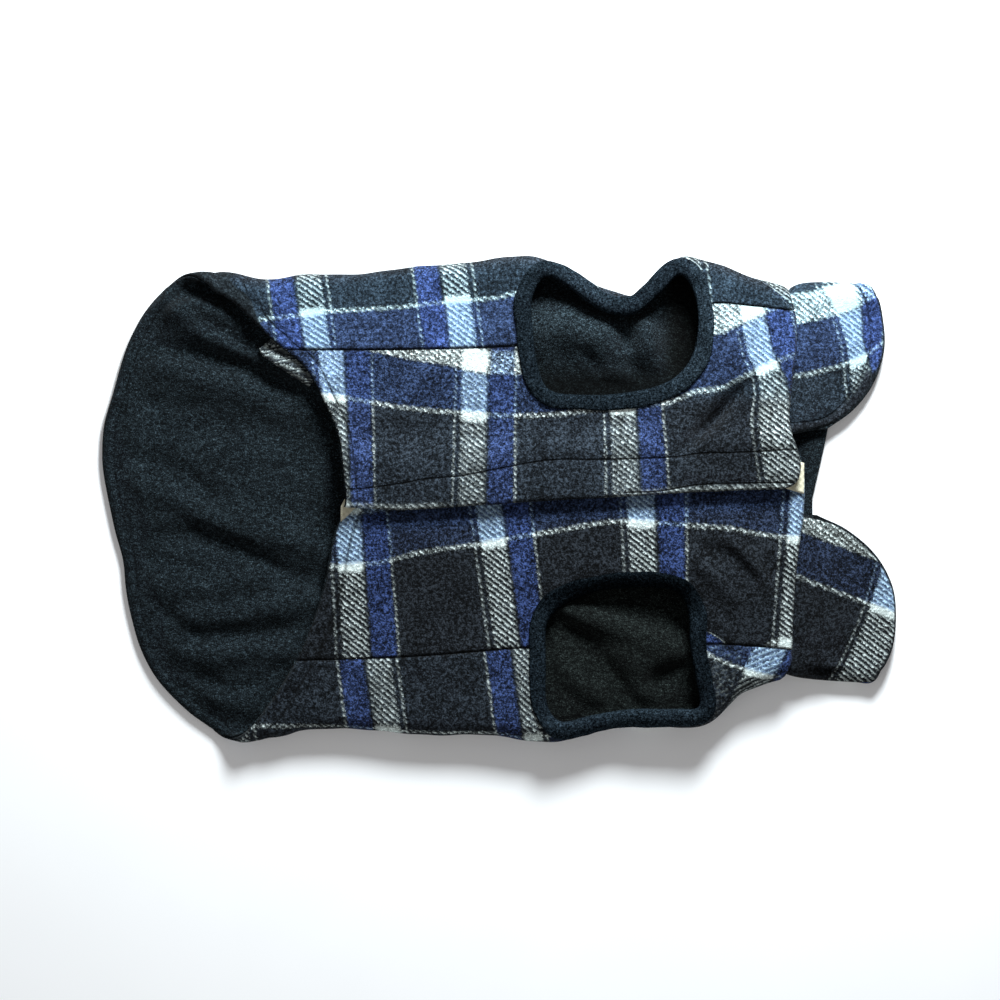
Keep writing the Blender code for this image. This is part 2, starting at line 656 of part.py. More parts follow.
for old in list(bpy.data.objects):
    bpy.data.objects.remove(old)
coat = bpy.data.collections.new("dog_winter_coat")
cutters = bpy.data.collections.new("cutters")
bpy.context.scene.collection.children.link(coat)
bpy.context.scene.collection.children.link(cutters)
main()
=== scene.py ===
# %% [markdown]
# # A dog's winter coat, closed and laid flat
# The coat is a flattened tube of plaid fleece lined with black fleece. Its back lies on the table and runs on as a
# round tail flap; the two fronts lap over each other along the belly. This lesson dresses the plain solids: it lays
# every cloth on the same skin as its solid, only finer, adds the folds, rolled hems and stitch lines, and then
# prints the plaid on each panel along that panel's own grain.

import math

import bmesh
import bpy
import numpy as np
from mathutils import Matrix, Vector


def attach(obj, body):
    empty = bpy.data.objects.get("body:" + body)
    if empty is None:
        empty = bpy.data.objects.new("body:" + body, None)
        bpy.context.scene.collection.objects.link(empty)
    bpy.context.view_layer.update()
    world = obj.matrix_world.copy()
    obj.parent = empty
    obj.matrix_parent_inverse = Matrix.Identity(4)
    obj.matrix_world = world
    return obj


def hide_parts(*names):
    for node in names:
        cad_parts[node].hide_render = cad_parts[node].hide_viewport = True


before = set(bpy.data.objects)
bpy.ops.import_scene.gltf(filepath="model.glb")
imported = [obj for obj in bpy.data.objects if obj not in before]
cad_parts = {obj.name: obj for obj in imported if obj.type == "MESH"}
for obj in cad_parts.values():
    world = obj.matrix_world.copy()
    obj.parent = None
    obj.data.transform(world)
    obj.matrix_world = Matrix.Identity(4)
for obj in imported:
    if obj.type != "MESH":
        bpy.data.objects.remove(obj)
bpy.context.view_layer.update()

# %% [markdown]
# ## Cloth sizes
# Lengths are millimetres until a mesh is made, because that is how a maker cuts cloth. The fleece is thick, so each
# wall is a shell and a lining with a hair of air between them.

# %% Cloth sizes
MM = 0.001
SHELL = 1.6
LINING = 1.6
GAP = 0.35  # between a shell and its lining
LOOSE = 0.5  # where a piece lies along another one's curve
WALL = SHELL + GAP + LINING
TAPE = 1.0
BINDING = 1.2
BINDING_WIDTH = 8.0
LINING_PEEP = 1.4  # the lining shows this far past the hem
OVERLAP = 22.0  # the right front laps this far over the left one
TAPE_WIDTH = 18.0
NECK_TUCK = 3.0
LAP_RISE = WALL + 2 * TAPE + 3 * LOOSE
BELOW_LAP = 18.0  # the lapping front comes down to the belly over this width
SEAM_GAP = 0.2
HOLE_CLEARANCE = 3.0  # the cloth ends this far short of a leg hole's rim, inside the binding
HEM_STITCH = 6.0  # the hem is topstitched this far from its edge
HEM_CREST = 2.6  # and it is thickest this far from its edge
LEFT_HEM = 0.68  # the dog's left side has a deeper hem, by this share
NOWHERE = 99.0  # the distance to a line that a piece doesn't have
RIGHT, LEFT = 1, -1  # the dog's sides: +Y and -Y
COLUMNS = 176  # of the back's and the fronts' grids
BACK_CELL, FRONT_CELL = 2.2, 1.6  # about the size of a cell in each


# %% [markdown]
# ## Curves from a few points
# A pattern maker draws a hem through a handful of marks. This helper does the same: it returns a smooth function
# through the marks, and it takes whole arrays, so that thousands of points are placed at once.


# %% Smooth curves and easing
def curve_through(marks):
    """A function through (station, value) marks with no corner at any of them."""
    stations, values = np.array(marks, float).T
    low, high = np.maximum(np.arange(len(marks)) - 1, 0), np.minimum(np.arange(len(marks)) + 1, len(marks) - 1)
    slopes = (values[high] - values[low]) / (stations[high] - stations[low])

    def at(station):
        station = np.clip(np.asarray(station, float), stations[0], stations[-1])
        i = np.clip(np.searchsorted(stations, station, side="right") - 1, 0, len(stations) - 2)
        span = stations[i + 1] - stations[i]
        t = (station - stations[i]) / span
        return (
            values[i] * (2 * t**3 - 3 * t**2 + 1)
            + slopes[i] * span * (t**3 - 2 * t**2 + t)
            + values[i + 1] * (3 * t**2 - 2 * t**3)
            + slopes[i + 1] * span * (t**3 - t**2)
        )

    return at


def ease(t):
    t = np.clip(t, 0.0, 1.0)
    return t * t * (3 - 2 * t)


def mix(a, b, t):
    return a + (b - a) * t


# %% [markdown]
# ## The coat's outline
# These are the marks that fix the coat's shape as it lies: how far each turned side reaches, the belly's height,
# the tail flap's end, the hem, the neck and the seams. They are the same ones that shape the solids.

# %% Outline marks
reach_right = curve_through([
    (-200, 113.5), (-147, 113.8), (-132, 113.0), (-118, 110.2), (-99, 112.5), (-77, 112.5), (-49, 115.5),
    (-9, 119.5), (13, 121.8), (23, 120.3), (31, 117.0), (41, 111.0), (51, 106.0), (61, 103.0), (67, 102.2),
    (72, 104.5), (81, 114.5), (91, 121.0), (101, 119.8), (111, 117.5), (121, 113.5), (131, 109.8), (141, 107.0),
    (150, 106.8),
])
reach_left = curve_through([
    (-200, 121.5), (-129, 121.5), (-118, 120.5), (-107, 118.5), (-99, 116.4), (-74, 115.0), (-44, 118.0),
    (-9, 118.3), (21, 121.5), (31, 121.3), (41, 119.0), (51, 115.5), (61, 114.0), (81, 114.3), (96, 114.8),
    (102, 113.6), (108, 110.0), (115, 103.5), (121, 97.8), (129, 94.5), (141, 91.0), (150, 89.3),
])
radius_right = curve_through([(-200, 7.5), (-130, 8.0), (-60, 7.5), (10, 8.5), (60, 8.0), (100, 9.0), (150, 9.5)])
radius_left = curve_through([(-200, 7.0), (-130, 7.0), (-60, 7.5), (10, 8.5), (60, 8.0), (100, 9.0), (150, 9.5)])
belly_height = curve_through([(-90, 15.0), (-60, 13.4), (0, 13.0), (70, 13.2), (110, 14.8), (150, 16.5)])
tail_right = curve_through([
    (0.0, -196.5), (0.12, -198.8), (0.21, -199.5), (0.35, -198.5), (0.5, -194.0), (0.71, -187.5), (0.85, -180.5),
    (0.93, -174.5), (1.0, -167.5),
])
tail_left = curve_through([
    (0.0, -196.5), (0.14, -193.0), (0.27, -189.0), (0.4, -187.5), (0.53, -184.5), (0.67, -179.5), (0.8, -171.0),
    (0.93, -156.5), (1.0, -145.5),
])
belly_hem = curve_through([
    (-114.5, -125.0), (-107.0, -118.5), (-90.0, -107.0), (-73.0, -98.0), (-45.0, -88.0), (-20.0, -83.0),
    (-8.0, -79.0), (-2.0, -76.5), (10.0, -77.5), (30.0, -80.0), (50.0, -88.5), (66.0, -97.5), (80.0, -114.0),
    (93.0, -127.0), (99.5, -134.5), (106.0, -147.0),
])
neck_right = curve_through([
    (5.0, 142.0), (6.5, 146.0), (10.5, 149.0), (17.0, 150.0), (24.0, 148.5), (32.0, 146.0), (40.0, 144.8),
    (50.0, 145.5), (65.0, 147.0), (77.0, 148.3), (90.0, 148.0), (99.0, 146.0),
])
neck_left = curve_through([
    (-84.0, 146.0), (-75.0, 146.0), (-45.0, 147.5), (-18.0, 150.5), (-8.0, 152.0), (8.0, 152.5), (18.0, 151.0),
    (27.0, 146.5),
])
neck_back = curve_through([
    (-84.0, 142.0), (-80.0, 136.0), (-60.0, 124.0), (-30.0, 116.0), (0.0, 113.5), (20.0, 114.5), (50.0, 120.5),
    (80.0, 130.5), (95.0, 138.5), (99.0, 142.0),
])
seam_right = curve_through([(-110, 74.5), (-49, 74.5), (12, 76.5), (60, 82.0), (104, 97.0), (128, 96.0), (150, 93.5)])
seam_left = curve_through([
    (-110, 81.0), (-49, 79.0), (-9, 76.0), (12, 74.5), (60, 76.0), (104, 72.5), (128, 73.5), (150, 75.5),
])
lap_edge = curve_through([(-80, -4.0), (-49, -5.5), (-20, -3.8), (20, -1.2), (60, 1.0), (100, 3.5), (145, 5.0)])


def either(side, right, left, at):
    """The right curve where side is the dog's right, the left curve elsewhere."""
    return np.where(np.asarray(side) > 0, right(at), left(at))


def turn_start(side, x):
    return either(side, reach_right, reach_left, x) - turn_radius(side, x)


def turn_radius(side, x):
    return either(side, radius_right, radius_left, x)


# %% [markdown]
# ## Folds in fleece
# Thick fleece doesn't crumple like cotton: it bends in wide rolls, with a sharper valley only where two rolls meet.
# So a fold here is a line on the coat with a half width and a height, and its section is a soft bell. Some are
# negative, which makes a valley. A small `sharp` value pinches the bell into a crease.


# %% Folds as lines with a soft section
def away_from(path, x, y):
    """Distance from every point to a broken line, and how far along it the nearest place is, 0 to 1."""
    path = np.array(path, float)
    steps = np.linalg.norm(np.diff(path, axis=0), axis=1)
    total, walked = steps.sum(), 0.0
    best, share = np.full(np.shape(x), 1e9), np.zeros(np.shape(x))
    for a, b, step in zip(path, path[1:], steps):
        t = np.clip(((x - a[0]) * (b[0] - a[0]) + (y - a[1]) * (b[1] - a[1])) / step**2, 0, 1)
        gap = np.hypot(x - a[0] - t * (b[0] - a[0]), y - a[1] - t * (b[1] - a[1]))
        share = np.where(gap < best, (walked + t * step) / total, share)
        best = np.minimum(best, gap)
        walked += step
    return best, share


def swell(folds, x, y):
    """Sum of the broad folds that the solids have too: each is (path, half width, height)."""
    total = np.zeros(np.shape(x))
    for path, half_width, height in folds:
        total = total + height * np.exp(-((away_from(path, x, y)[0] / half_width) ** 2))
    return total


def relief(folds, x, y):
    """Sum of the finer folds: each is (path, half width, height, sharpness) and dies away towards its ends."""
    total = np.zeros(np.shape(x))
    for path, half_width, height, sharp in folds:
        away, share = away_from(path, x, y)
        ends = 0.35 + 0.65 * np.sin(np.pi * np.clip(share, 0.02, 0.98)) ** 0.6
        bell = np.exp(-((away / half_width) ** 2))
        crease = np.exp(-away / (0.55 * half_width))
        total = total + height * ends * mix(bell, crease, sharp)
    return total


def ripple(x, y, seed):
    """Slow unevenness of laid cloth, from a few waves that never line up."""
    total = np.zeros(np.shape(x))
    for k, (length, turn, size) in enumerate([(47, 0.4, 0.5), (31, 1.9, 0.4), (23, 2.7, 0.3), (15, 0.9, 0.18)]):
        phase = seed * (1.7 + 0.9 * k)
        total = total + size * np.sin(2 * math.pi * (x * math.cos(turn) + y * math.sin(turn)) / length + phase)
    return total


# %% Folds of the belly side, broad ones first
BROAD_FOLDS = [
    ([(-92, 62), (-80, 30), (-78, 4)], 16.0, 1.8),
    ([(116, 52), (100, 35)], 5.0, -1.5),
    ([(98, -30), (120, -46)], 18.0, 2.2),
    ([(112, 84), (122, 62)], 13.0, 2.2),
    ([(-40, 60), (-5, 62)], 12.0, 1.0),
    ([(-60, -50), (10, -55)], 14.0, -0.9),
]
FINE_FOLDS = [
    ([(125, 58), (113, 46), (104, 36), (92, 27)], 3.6, -4.4, 0.5),
    ([(112, 43), (104, 36), (95, 27), (88, 24)], 2.8, -3.4, 0.6),
    ([(110, 54), (100, 43), (88, 34)], 5.0, 2.2, 0.0),
    ([(124, 46), (112, 33), (102, 25)], 4.5, 1.3, 0.0),
    ([(134, 40), (118, 30), (104, 18)], 7.0, 0.5, 0.0),
    ([(100, -23), (116, -29), (130, -42)], 3.2, -2.5, 0.3),
    ([(110, -17), (121, -25), (131, -38), (136, -50)], 3.4, 3.2, 0.0),
    ([(95, -30), (106, -37), (118, -50)], 4.2, 3.0, 0.0),
    ([(96, -46), (112, -57), (124, -70)], 3.6, -1.6, 0.2),
    ([(124, -16), (138, -28), (147, -42)], 4.0, 1.0, 0.0),
    ([(-64, 56), (-40, 44), (-14, 40)], 8.0, 0.5, 0.0),
    ([(-30, 70), (-8, 55), (10, 40)], 6.0, -0.5, 0.0),
    ([(14, 60), (6, 44), (10, 28)], 5.0, 0.7, 0.0),
    ([(30, 44), (60, 40), (92, 46)], 5.0, 0.7, 0.0),
    ([(100, 60), (106, 74), (104, 90)], 4.5, 0.7, 0.0),
    ([(126, 96), (132, 80), (138, 62)], 6.0, -0.6, 0.0),
    ([(-78, -44), (-52, -40), (-30, -46)], 7.0, 0.6, 0.0),
    ([(-60, -66), (-30, -62), (2, -70)], 6.0, -0.5, 0.0),
    ([(8, -32), (14, -50), (12, -72)], 5.0, 0.8, 0.0),
    ([(18, -42), (50, -33), (88, -34)], 6.0, 1.2, 0.0),
    ([(26, -54), (38, -48), (62, -44), (86, -46), (95, -56)], 5.0, -4.6, 0.0),
    ([(-84, 66), (-94, 86), (-100, 104)], 6.0, -0.6, 0.0),
    ([(-54, 84), (-50, 100), (-46, 112)], 5.0, 0.4, 0.0),
    ([(-20, 82), (-22, 98), (-18, 112)], 6.0, -0.5, 0.0),
    ([(-100, -86), (-96, -102), (-92, -112)], 6.0, 0.5, 0.0),
    ([(-40, -84), (-36, -100), (-34, -112)], 7.0, -0.5, 0.0),
]
print(len(BROAD_FOLDS) + len(FINE_FOLDS), "folds on the belly side")


# %% [markdown]
# ## One skin for every layer
# The outer face of the flattened tube is a function of two numbers: a station along the coat, and the unfolded
# distance from the centre line. Walking outwards along the belly, over the turned edge and back under the coat is
# then one straight walk in the second number. Each layer of cloth is that skin sunk by its own depth, square to
# the surface, so the layers never cross.


# %% The skin
def upper_height(x, y):
    """Height of the belly side over the table."""
    side = np.where(y >= 0, RIGHT, LEFT)
    start, top = turn_start(side, x), 2 * turn_radius(side, x)
    inward = start - np.abs(y)
    raised = swell(BROAD_FOLDS, x, y) * ease(inward / 12.0)
    fine = relief(FINE_FOLDS, x, y) + 0.35 * ripple(x, y, 1.0)
    return top + (belly_height(x) - top) * ease(inward / start) + raised + fine * ease((inward + 2.0) / 8.0)


def skin(side, x, unfolded, lap=0.0):
    """A point of the outer face; lap lifts the front that lies over the other one."""
    side, x, unfolded = np.broadcast_arrays(np.asarray(side, float), x, unfolded)
    start, radius = turn_start(side, x), turn_radius(side, x)
    past = unfolded - start
    flat = past <= 0
    over = (past > 0) & (past < math.pi * radius)
    angle = np.clip(past / radius, 0, math.pi)
    bulge = 1 + 0.035 * np.sin(x / 7.3 + side) * np.sin(angle) + 0.02 * np.sin(x / 3.1 + 2 * side) * np.sin(angle)
    rise = lap * ease((lap_edge(x) + OVERLAP + BELOW_LAP - side * unfolded) / BELOW_LAP)
    turned, beneath = start + radius * np.sin(angle) * bulge, start - past + math.pi * radius
    y = np.where(flat, unfolded, np.where(over, turned, beneath))
    z = np.where(flat, upper_height(x, side * np.minimum(unfolded, start)) + rise, radius + radius * np.cos(angle))
    return np.stack([x, side * y, z], axis=-1)


def below_skin(side, x, unfolded, depth, lap=0.0):
    """The same point sunk by depth, square to the face."""
    side, x, unfolded, depth = np.broadcast_arrays(np.asarray(side, float), x, unfolded, depth)
    step = 0.4
    along = skin(side, x + step, unfolded, lap) - skin(side, x - step, unfolded, lap)
    across = skin(side, x, unfolded + step, lap) - skin(side, x, unfolded - step, lap)
    outward = np.cross(along, across) * side[..., None]
    outward /= np.linalg.norm(outward, axis=-1, keepdims=True)
    return skin(side, x, unfolded, lap) - outward * depth[..., None]


# %% [markdown]
# ## A wall of cloth
# A piece of cloth starts as a flat grid. Faces inside a leg hole are taken out while it is still flat, the grid is
# extruded once to give it a second face, and only then are both faces laid in place. That keeps the wall closed.
# Numbers that belong to the cloth, such as where a thread of the plaid lies or how far the hem is, are kept on its
# points, so the finish follows the cloth and not the room.


# %% Keep a finished bmesh as a piece of cloth
def piece_from(name, bm, facts):
    bmesh.ops.recalc_face_normals(bm, faces=bm.faces)
    mesh = bpy.data.meshes.new(name)
    bm.to_mesh(mesh)
    bm.free()
    for fact, values in facts.items():
        attribute = mesh.attributes.new(fact, "FLOAT", "POINT")
        attribute.data.foreach_set("value", np.asarray(values, np.float32))
    mesh.shade_smooth()
    piece = bpy.data.objects.new(name, mesh)
    bpy.context.scene.collection.objects.link(piece)
    print(name, len(mesh.polygons), "faces")
    return piece


# %% Build a wall from its two faces
def cloth_wall(name, outer, inner, facts, keep=None):
    columns, rows = outer.shape[0] - 1, outer.shape[1] - 1
    bm = bmesh.new()
    bmesh.ops.create_grid(bm, x_segments=columns, y_segments=rows, size=0.5)
    if keep is not None:
        gone = []
        for face in bm.faces:
            centre = face.calc_center_median()
            if not keep[int((centre.x + 0.5) * columns), int((centre.y + 0.5) * rows)]:
                gone.append(face)
        bmesh.ops.delete(bm, geom=gone, context="FACES")
    made = bmesh.ops.extrude_face_region(bm, geom=bm.faces[:])
    second = {v for v in made["geom"] if isinstance(v, bmesh.types.BMVert)}
    places = [(round((v.co.x + 0.5) * columns), round((v.co.y + 0.5) * rows)) for v in bm.verts]
    for v, (i, j) in zip(bm.verts, places):
        v.co = Vector(inner[i, j] if v in second else outer[i, j]) * MM
    i, j = np.array(places).T
    return piece_from(name, bm, {fact: np.asarray(values, np.float32)[i, j] for fact, values in facts.items()})


# %% Rolled edges, puffed hems and stitched grooves
def edge_roll(distance, reach, drop):
    """How far a cut edge rounds over: 0 in the cloth, drop at the very edge."""
    t = np.clip(1 - distance / reach, 0, 1)
    return drop * (1 - np.sqrt(1 - t * t * 0.98))


def hem_puff(hem, width=2.0):
    """How full a turned hem is: 1 on its crest."""
    return np.exp(-(((hem - HEM_CREST) / width) ** 2))


def stitch_groove(distance, width=0.9, depth=0.75):
    return depth * np.exp(-((distance / width) ** 2))


def from_edge(x, edge, y):
    """Distance from a hem or neck line that is given as X by Y, measured square to the line."""
    step = 0.5
    slope = (edge(y + step) - edge(y - step)) / (2 * step)
    return (x - edge(y)) / np.sqrt(1 + slope**2)


# %% [markdown]
# ## Leg holes
# A leg hole is cut through the belly side only and reaches over the side fold. Its rim is a smooth closed curve
# through a few marks. Points of the cloth that fall close to the cut are moved onto it, so the edge runs clean
# under the binding.

# %% Leg hole rims
RIGHT_RIM = [
    (16.5, 99.5), (17.0, 84.0), (19.0, 68.0), (25.5, 54.5), (45.0, 52.0), (66.0, 53.5), (84.0, 58.5), (95.0, 69.0),
    (99.0, 86.0), (97.0, 103.0), (90.0, 111.5), (80.0, 102.0), (68.0, 92.5), (57.0, 92.0), (45.0, 97.5),
    (33.0, 107.0), (23.0, 110.5),
]
LEFT_RIM = [
    (24.0, -62.0), (23.5, -82.0), (24.0, -102.0), (31.0, -111.0), (46.0, -108.0), (66.0, -104.8), (88.0, -104.8),
    (99.5, -103.5), (98.0, -90.0), (95.0, -72.0), (94.5, -57.0), (88.0, -46.5), (70.0, -44.3), (50.0, -46.0),
    (33.0, -52.0),
]


def closed_curve(marks, count):
    """count places round a smooth loop through the marks."""
    marks = np.array(marks, float)
    n = len(marks)
    at = np.arange(count) * n / count
    i, t = at.astype(int), (at % 1)[:, None]
    p0, p1, p2, p3 = (marks[(i + k) % n] for k in (-1, 0, 1, 2))
    return 0.5 * (2 * p1 + (p2 - p0) * t + (2 * p0 - 5 * p1 + 4 * p2 - p3) * t**2 + (3 * p1 - p0 - 3 * p2 + p3) * t**3)


def outward_of(loop):
    """At each place of a closed loop, the way straight out of it."""
    tangent = np.roll(loop, -1, axis=0) - np.roll(loop, 1, axis=0)
    tangent /= np.linalg.norm(tangent, axis=1, keepdims=True)
    nxt = np.roll(loop, -1, axis=0)
    way = 1 if np.sum(loop[:, 0] * nxt[:, 1] - nxt[:, 0] * loop[:, 1]) > 0 else -1
    return np.stack([tangent[:, 1], -tangent[:, 0]], axis=1) * way


def hole_outline(rim):
    """Where the cloth is cut: a little outside the rim that the binding makes."""
    loop = closed_curve(rim, 360)
    return loop + outward_of(loop) * HOLE_CLEARANCE


def cut_hole(x, y, outline, cell):
    """Moves points nearer the outline than half a cell onto it, and says which points lie inside."""
    shape, px, py = x.shape, x.ravel().copy(), y.ravel().copy()
    inside = np.zeros(px.size, bool)
    near = np.full(px.size, 1e9)
    target = np.zeros((px.size, 2))
    for a, b in zip(outline, np.roll(outline, -1, axis=0)):
        crosses = ((a[1] > py) != (b[1] > py)) & (px < (b[0] - a[0]) * (py - a[1]) / (b[1] - a[1] + 1e-12) + a[0])
        inside ^= crosses
        step = b - a
        t = np.clip(((px - a[0]) * step[0] + (py - a[1]) * step[1]) / (step @ step), 0, 1)
        qx, qy = a[0] + t * step[0], a[1] + t * step[1]
        gap = np.hypot(px - qx, py - qy)
        closer = gap < near
        near = np.where(closer, gap, near)
        target[closer, 0], target[closer, 1] = qx[closer], qy[closer]
    snap = near < 0.5 * cell
    px[snap], py[snap] = target[snap, 0], target[snap, 1]
    return px.reshape(shape), py.reshape(shape), (inside & ~snap).reshape(shape)


def cells_kept(inside):
    """A cell goes when any of its corners lies inside the hole."""
    return ~(inside[:-1, :-1] | inside[1:, :-1] | inside[:-1, 1:] | inside[1:, 1:])


# %% [markdown]
# ## The plaid's grain
# Each panel was cut from the same cloth at a different place and the other way up, so its stripes are found from
# a few marks of its own. `warp` counts repeats along the coat, `weft` counts them round the body and `twill` runs
# across the diagonal ribs. Whole numbers in `warp` are where a white stripe starts, and whole numbers in `weft` are
# the thin white lines, whose course over each panel is given by the `line_` curves.

# %% Grain of each panel
WARP_REPEAT, WEFT_REPEAT, RIB, RIB_SLOPE = 71.5, 90.0, 2.9, 0.78


def stripes_between(x, y, low, high, y_low, y_high):
    """Repeats counted from marks: the same stripes are marked at two heights, y_low and y_high."""
    t = (y - y_low) / (y_high - y_low)
    places = [mix(a, b, t) for a, b in zip(low, high)]
    phase = (x - places[0]) / (places[1] - places[0])
    for k in range(1, len(places) - 1):
        phase = np.where(x > places[k], k + (x - places[k]) / (places[k + 1] - places[k]), phase)
    return phase


line_right = curve_through([
    (-110, 54.0), (-77, 50.5), (-62, 48.0), (-44.5, 45.5), (-19.5, 43.5), (8, 42.0), (30.5, 43.0), (50.5, 45.5),
    (70.5, 47.0), (85.5, 49.0), (99, 54.0), (110.5, 55.5), (120.5, 60.5), (133, 66.5), (150, 73.0),
])
line_left = curve_through([
    (-110, -34.0), (-77, -33.0), (-59.5, -31.5), (-39.5, -26.5), (-14.5, -23.0), (0.5, -20.5), (20.5, -17.0),
    (40.5, -13.5), (58, -11.0), (75.5, -11.5), (95.5, -13.0), (115.5, -14.5), (130.5, -17.5), (150, -19.5),
])
line_back_right = curve_through([
    (-125, 89.0), (-100, 91.5), (-84.5, 93.5), (-47, 96.0), (-29.5, 98.0), (0.5, 100.5), (8, 102.5), (60, 98.0),
    (100, 92.0), (150, 89.0),
])
line_back_left = curve_through([
    (-200, 113.0), (-110, 113.5), (-80, 114.5), (-50, 117.0), (0, 118.5), (20, 120.0), (60, 100.0), (95, 75.0),
    (102, 76.5), (115.5, 82.5), (140.5, 90.0), (150, 92.0),
])
repeat_right = curve_through([
    (-60, 91.0), (-40, 86.0), (-25, 81.0), (-10, 72.0), (8, 72.0), (60, 90.0), (100, 96.0), (150, WEFT_REPEAT),
])


def front_grain(side, x, y):
    if side == RIGHT:
        pulled = x - 4.5 * np.exp(-(((y - 56.0) / 13.0) ** 2)) * ease((x - 100) / 20)
        warp = stripes_between(pulled, y, (-86, -20, 56.5, 132.5, 218), (-90, -18, 55, 123, 196), 10.0, 75.0)
        warp = np.where(warp > 3, 3 + (warp - 3) * mix(0.78, 1.0, ease((y - 42.0) / 14.0)), warp)
        beyond, block = y - line_right(x), mix(94.0, 126.0, ease((x + 60) / 50))
    else:
        drawn = 20.0 * ease((-58.0 - y) / 16.0) * ease((x - 92.0) / 8.0) * ease((130.0 - x) / 18.0)
        warp = stripes_between(x - drawn, y, (-81.5, -11.5, 64, 145, 220), (-78, -1.5, 68, 139, 212), -5.0, -75.0)
        beyond, block = y - line_left(x), mix(108.0, 91.0, ease((x - 126) / 14))
    weft = beyond / np.where(beyond > 0, repeat_right(x) if side == RIGHT else WEFT_REPEAT, block)
    return {"warp": warp, "weft": weft, "twill": (y + RIB_SLOPE * x) / RIB}


def back_grain(side, x, unfolded):
    whole = 2 * turn_start(side, x) + math.pi * turn_radius(side, x)
    round_body = np.where(side > 0, whole - unfolded, unfolded - whole)
    right_whole = 2 * turn_start(RIGHT, x) + math.pi * turn_radius(RIGHT, x)
    left_whole = 2 * turn_start(LEFT, x) + math.pi * turn_radius(LEFT, x)
    repeat = ((right_whole - line_back_right(x)) + (left_whole - line_back_left(x))) / 3
    weft = np.where(side > 0, line_back_right(x) - unfolded, unfolded - line_back_left(x)) / repeat
    on_top = ease((turn_start(side, x) + 24.0 - unfolded) / 10.0)
    shift = on_top * ease((x - 30.0) / 60.0) * -26.0
    turned_over = on_top * ease((x - 80.0) / 15.0) * (side < 0)
    weft = weft * (1 - 2 * turned_over)
    pulled = x - 0.05 * (x + 83.0) * on_top * (side < 0) * ease((30.0 - x) / 20.0)
    warp = (-34.0 + shift + 0.1326 * round_body - pulled) / WARP_REPEAT
    corner = 131.5 + 1.04 * (109.5 - unfolded)
    warp = np.where((side > 0) & (x > corner) & (on_top > 0.5), (x - corner) / WARP_REPEAT, warp)
    left_start = 126.5 - 0.42 * (unfolded - 75.5)
    left_corner = (side < 0) & (x > 98.0) & (on_top > 0.5)
    warp = np.where(left_corner, np.maximum((x - left_start) / 95.0, -0.03), warp)
    hem_edge = (side < 0) & (x < 25.0) & (weft > 0) & (weft < 0.12)
    return {"warp": warp, "weft": np.where(hem_edge, -weft, weft), "twill": -30 * weft + RIB_SLOPE * x / RIB}


# %% [markdown]
# ## The back panel
# The back goes from the left side seam, out over the left turned edge, under the whole coat and up over the right
# edge to the right side seam. Its shell is the plaid that rests on the table, its lining is what shows on the tail
# flap and through the leg holes.


# %% Rows and ends of the back
def back_rows(upper, turn, under):
    half = [("upper", 1 - k / upper) for k in range(upper)]
    half += [("turn", k / turn) for k in range(turn)]
    half += [("under", 1 - k / under) for k in range(under)]
    return [(LEFT, *row) for row in half] + [(RIGHT, "under", 0.0)] + [(RIGHT, *row) for row in reversed(half)]


def unfolded_at(side, x, zone, share):
    start, radius = turn_start(side, x), turn_radius(side, x)
    seam = either(side, seam_right, seam_left, x)
    if zone == "upper":
        return mix(start, seam + SEAM_GAP, share)
    if zone == "turn":
        return start + math.pi * radius * share
    return start + math.pi * radius + start * (1 - share)


def back_ends(side, zone, share):
    neck_edge, tail = (neck_right, tail_right) if side > 0 else (neck_left, tail_left)
    hem, neck = belly_hem(side * turn_start(side, -130.0)), neck_back(side * turn_start(side, 142.0))
    if zone == "under":
        return float(tail(share)), float(neck_back(side * share * turn_start(side, 135.0)))
    if zone == "turn":
        neck_top = neck_edge(side * turn_start(side, 146.0))
        return float(mix(hem, tail(1.0), share)), float(mix(neck_top, neck, share))
    ends = []
    for x, edge in ((-120.0, belly_hem), (146.0, neck_edge)):
        for _ in range(8):
            x = edge(side * unfolded_at(side, x, zone, share))
        ends.append(float(x))
    return ends


# %% Lay out the back
def back_layout(columns, rows, peep):
    """Where every point of the back lies: its side, X, unfolded distance and distances to its free edges."""
    ends = np.array([back_ends(*row) for row in rows])
    share = np.linspace(0, 1, columns + 1)
    share = share + 0.12 * np.sin(2 * math.pi * share) / (2 * math.pi)
    side = np.array([row[0] for row in rows], float)[None, :].repeat(columns + 1, 0)
    in_from = np.array([1.0 if r[1] == "upper" else 1 - r[2] if r[1] == "turn" else 0.4 for r in rows])
    x = mix(ends[:, 0] + peep * in_from, ends[:, 1], share[:, None])
    unfolded = np.empty_like(x)
    for j, (row_side, zone, row_share) in enumerate(rows):
        unfolded[:, j] = unfolded_at(row_side, x[:, j], zone, row_share)
    flat_y = skin(side, x, unfolded)[..., 1]
    slope = np.gradient(ends[:, 0]) / np.maximum(np.abs(np.gradient(np.median(flat_y, axis=0))), 0.35)
    hem = (x - ends[:, 0]) / np.sqrt(1 + np.minimum(slope**2, 4.0))
    neck = ends[:, 1] - x
    return side, x, unfolded, hem, neck


def open_leg_holes(side, x, unfolded):
    """Both leg holes reach over the turned edges, so the back's grid is cut there too."""
    on_top = unfolded < turn_start(side, x) + 12.0
    inside = np.zeros(x.shape, bool)
    for hole_side, rim in ((RIGHT, RIGHT_RIM), (LEFT, LEFT_RIM)):
        ours = on_top & (side == hole_side)
        moved_x, moved_y, within = cut_hole(x, side * unfolded, hole_outline(rim), BACK_CELL)
        x = np.where(ours, moved_x, x)
        unfolded = np.where(ours, side * moved_y, unfolded)
        inside |= within & ours
    return x, unfolded, inside


# %% [markdown]
# The tail flap's lining is the largest plain surface, so its folds matter: long soft valleys run from the belly hem
# out towards the tail, deepest where the flap goes in under the belly, and they fade before the edge.

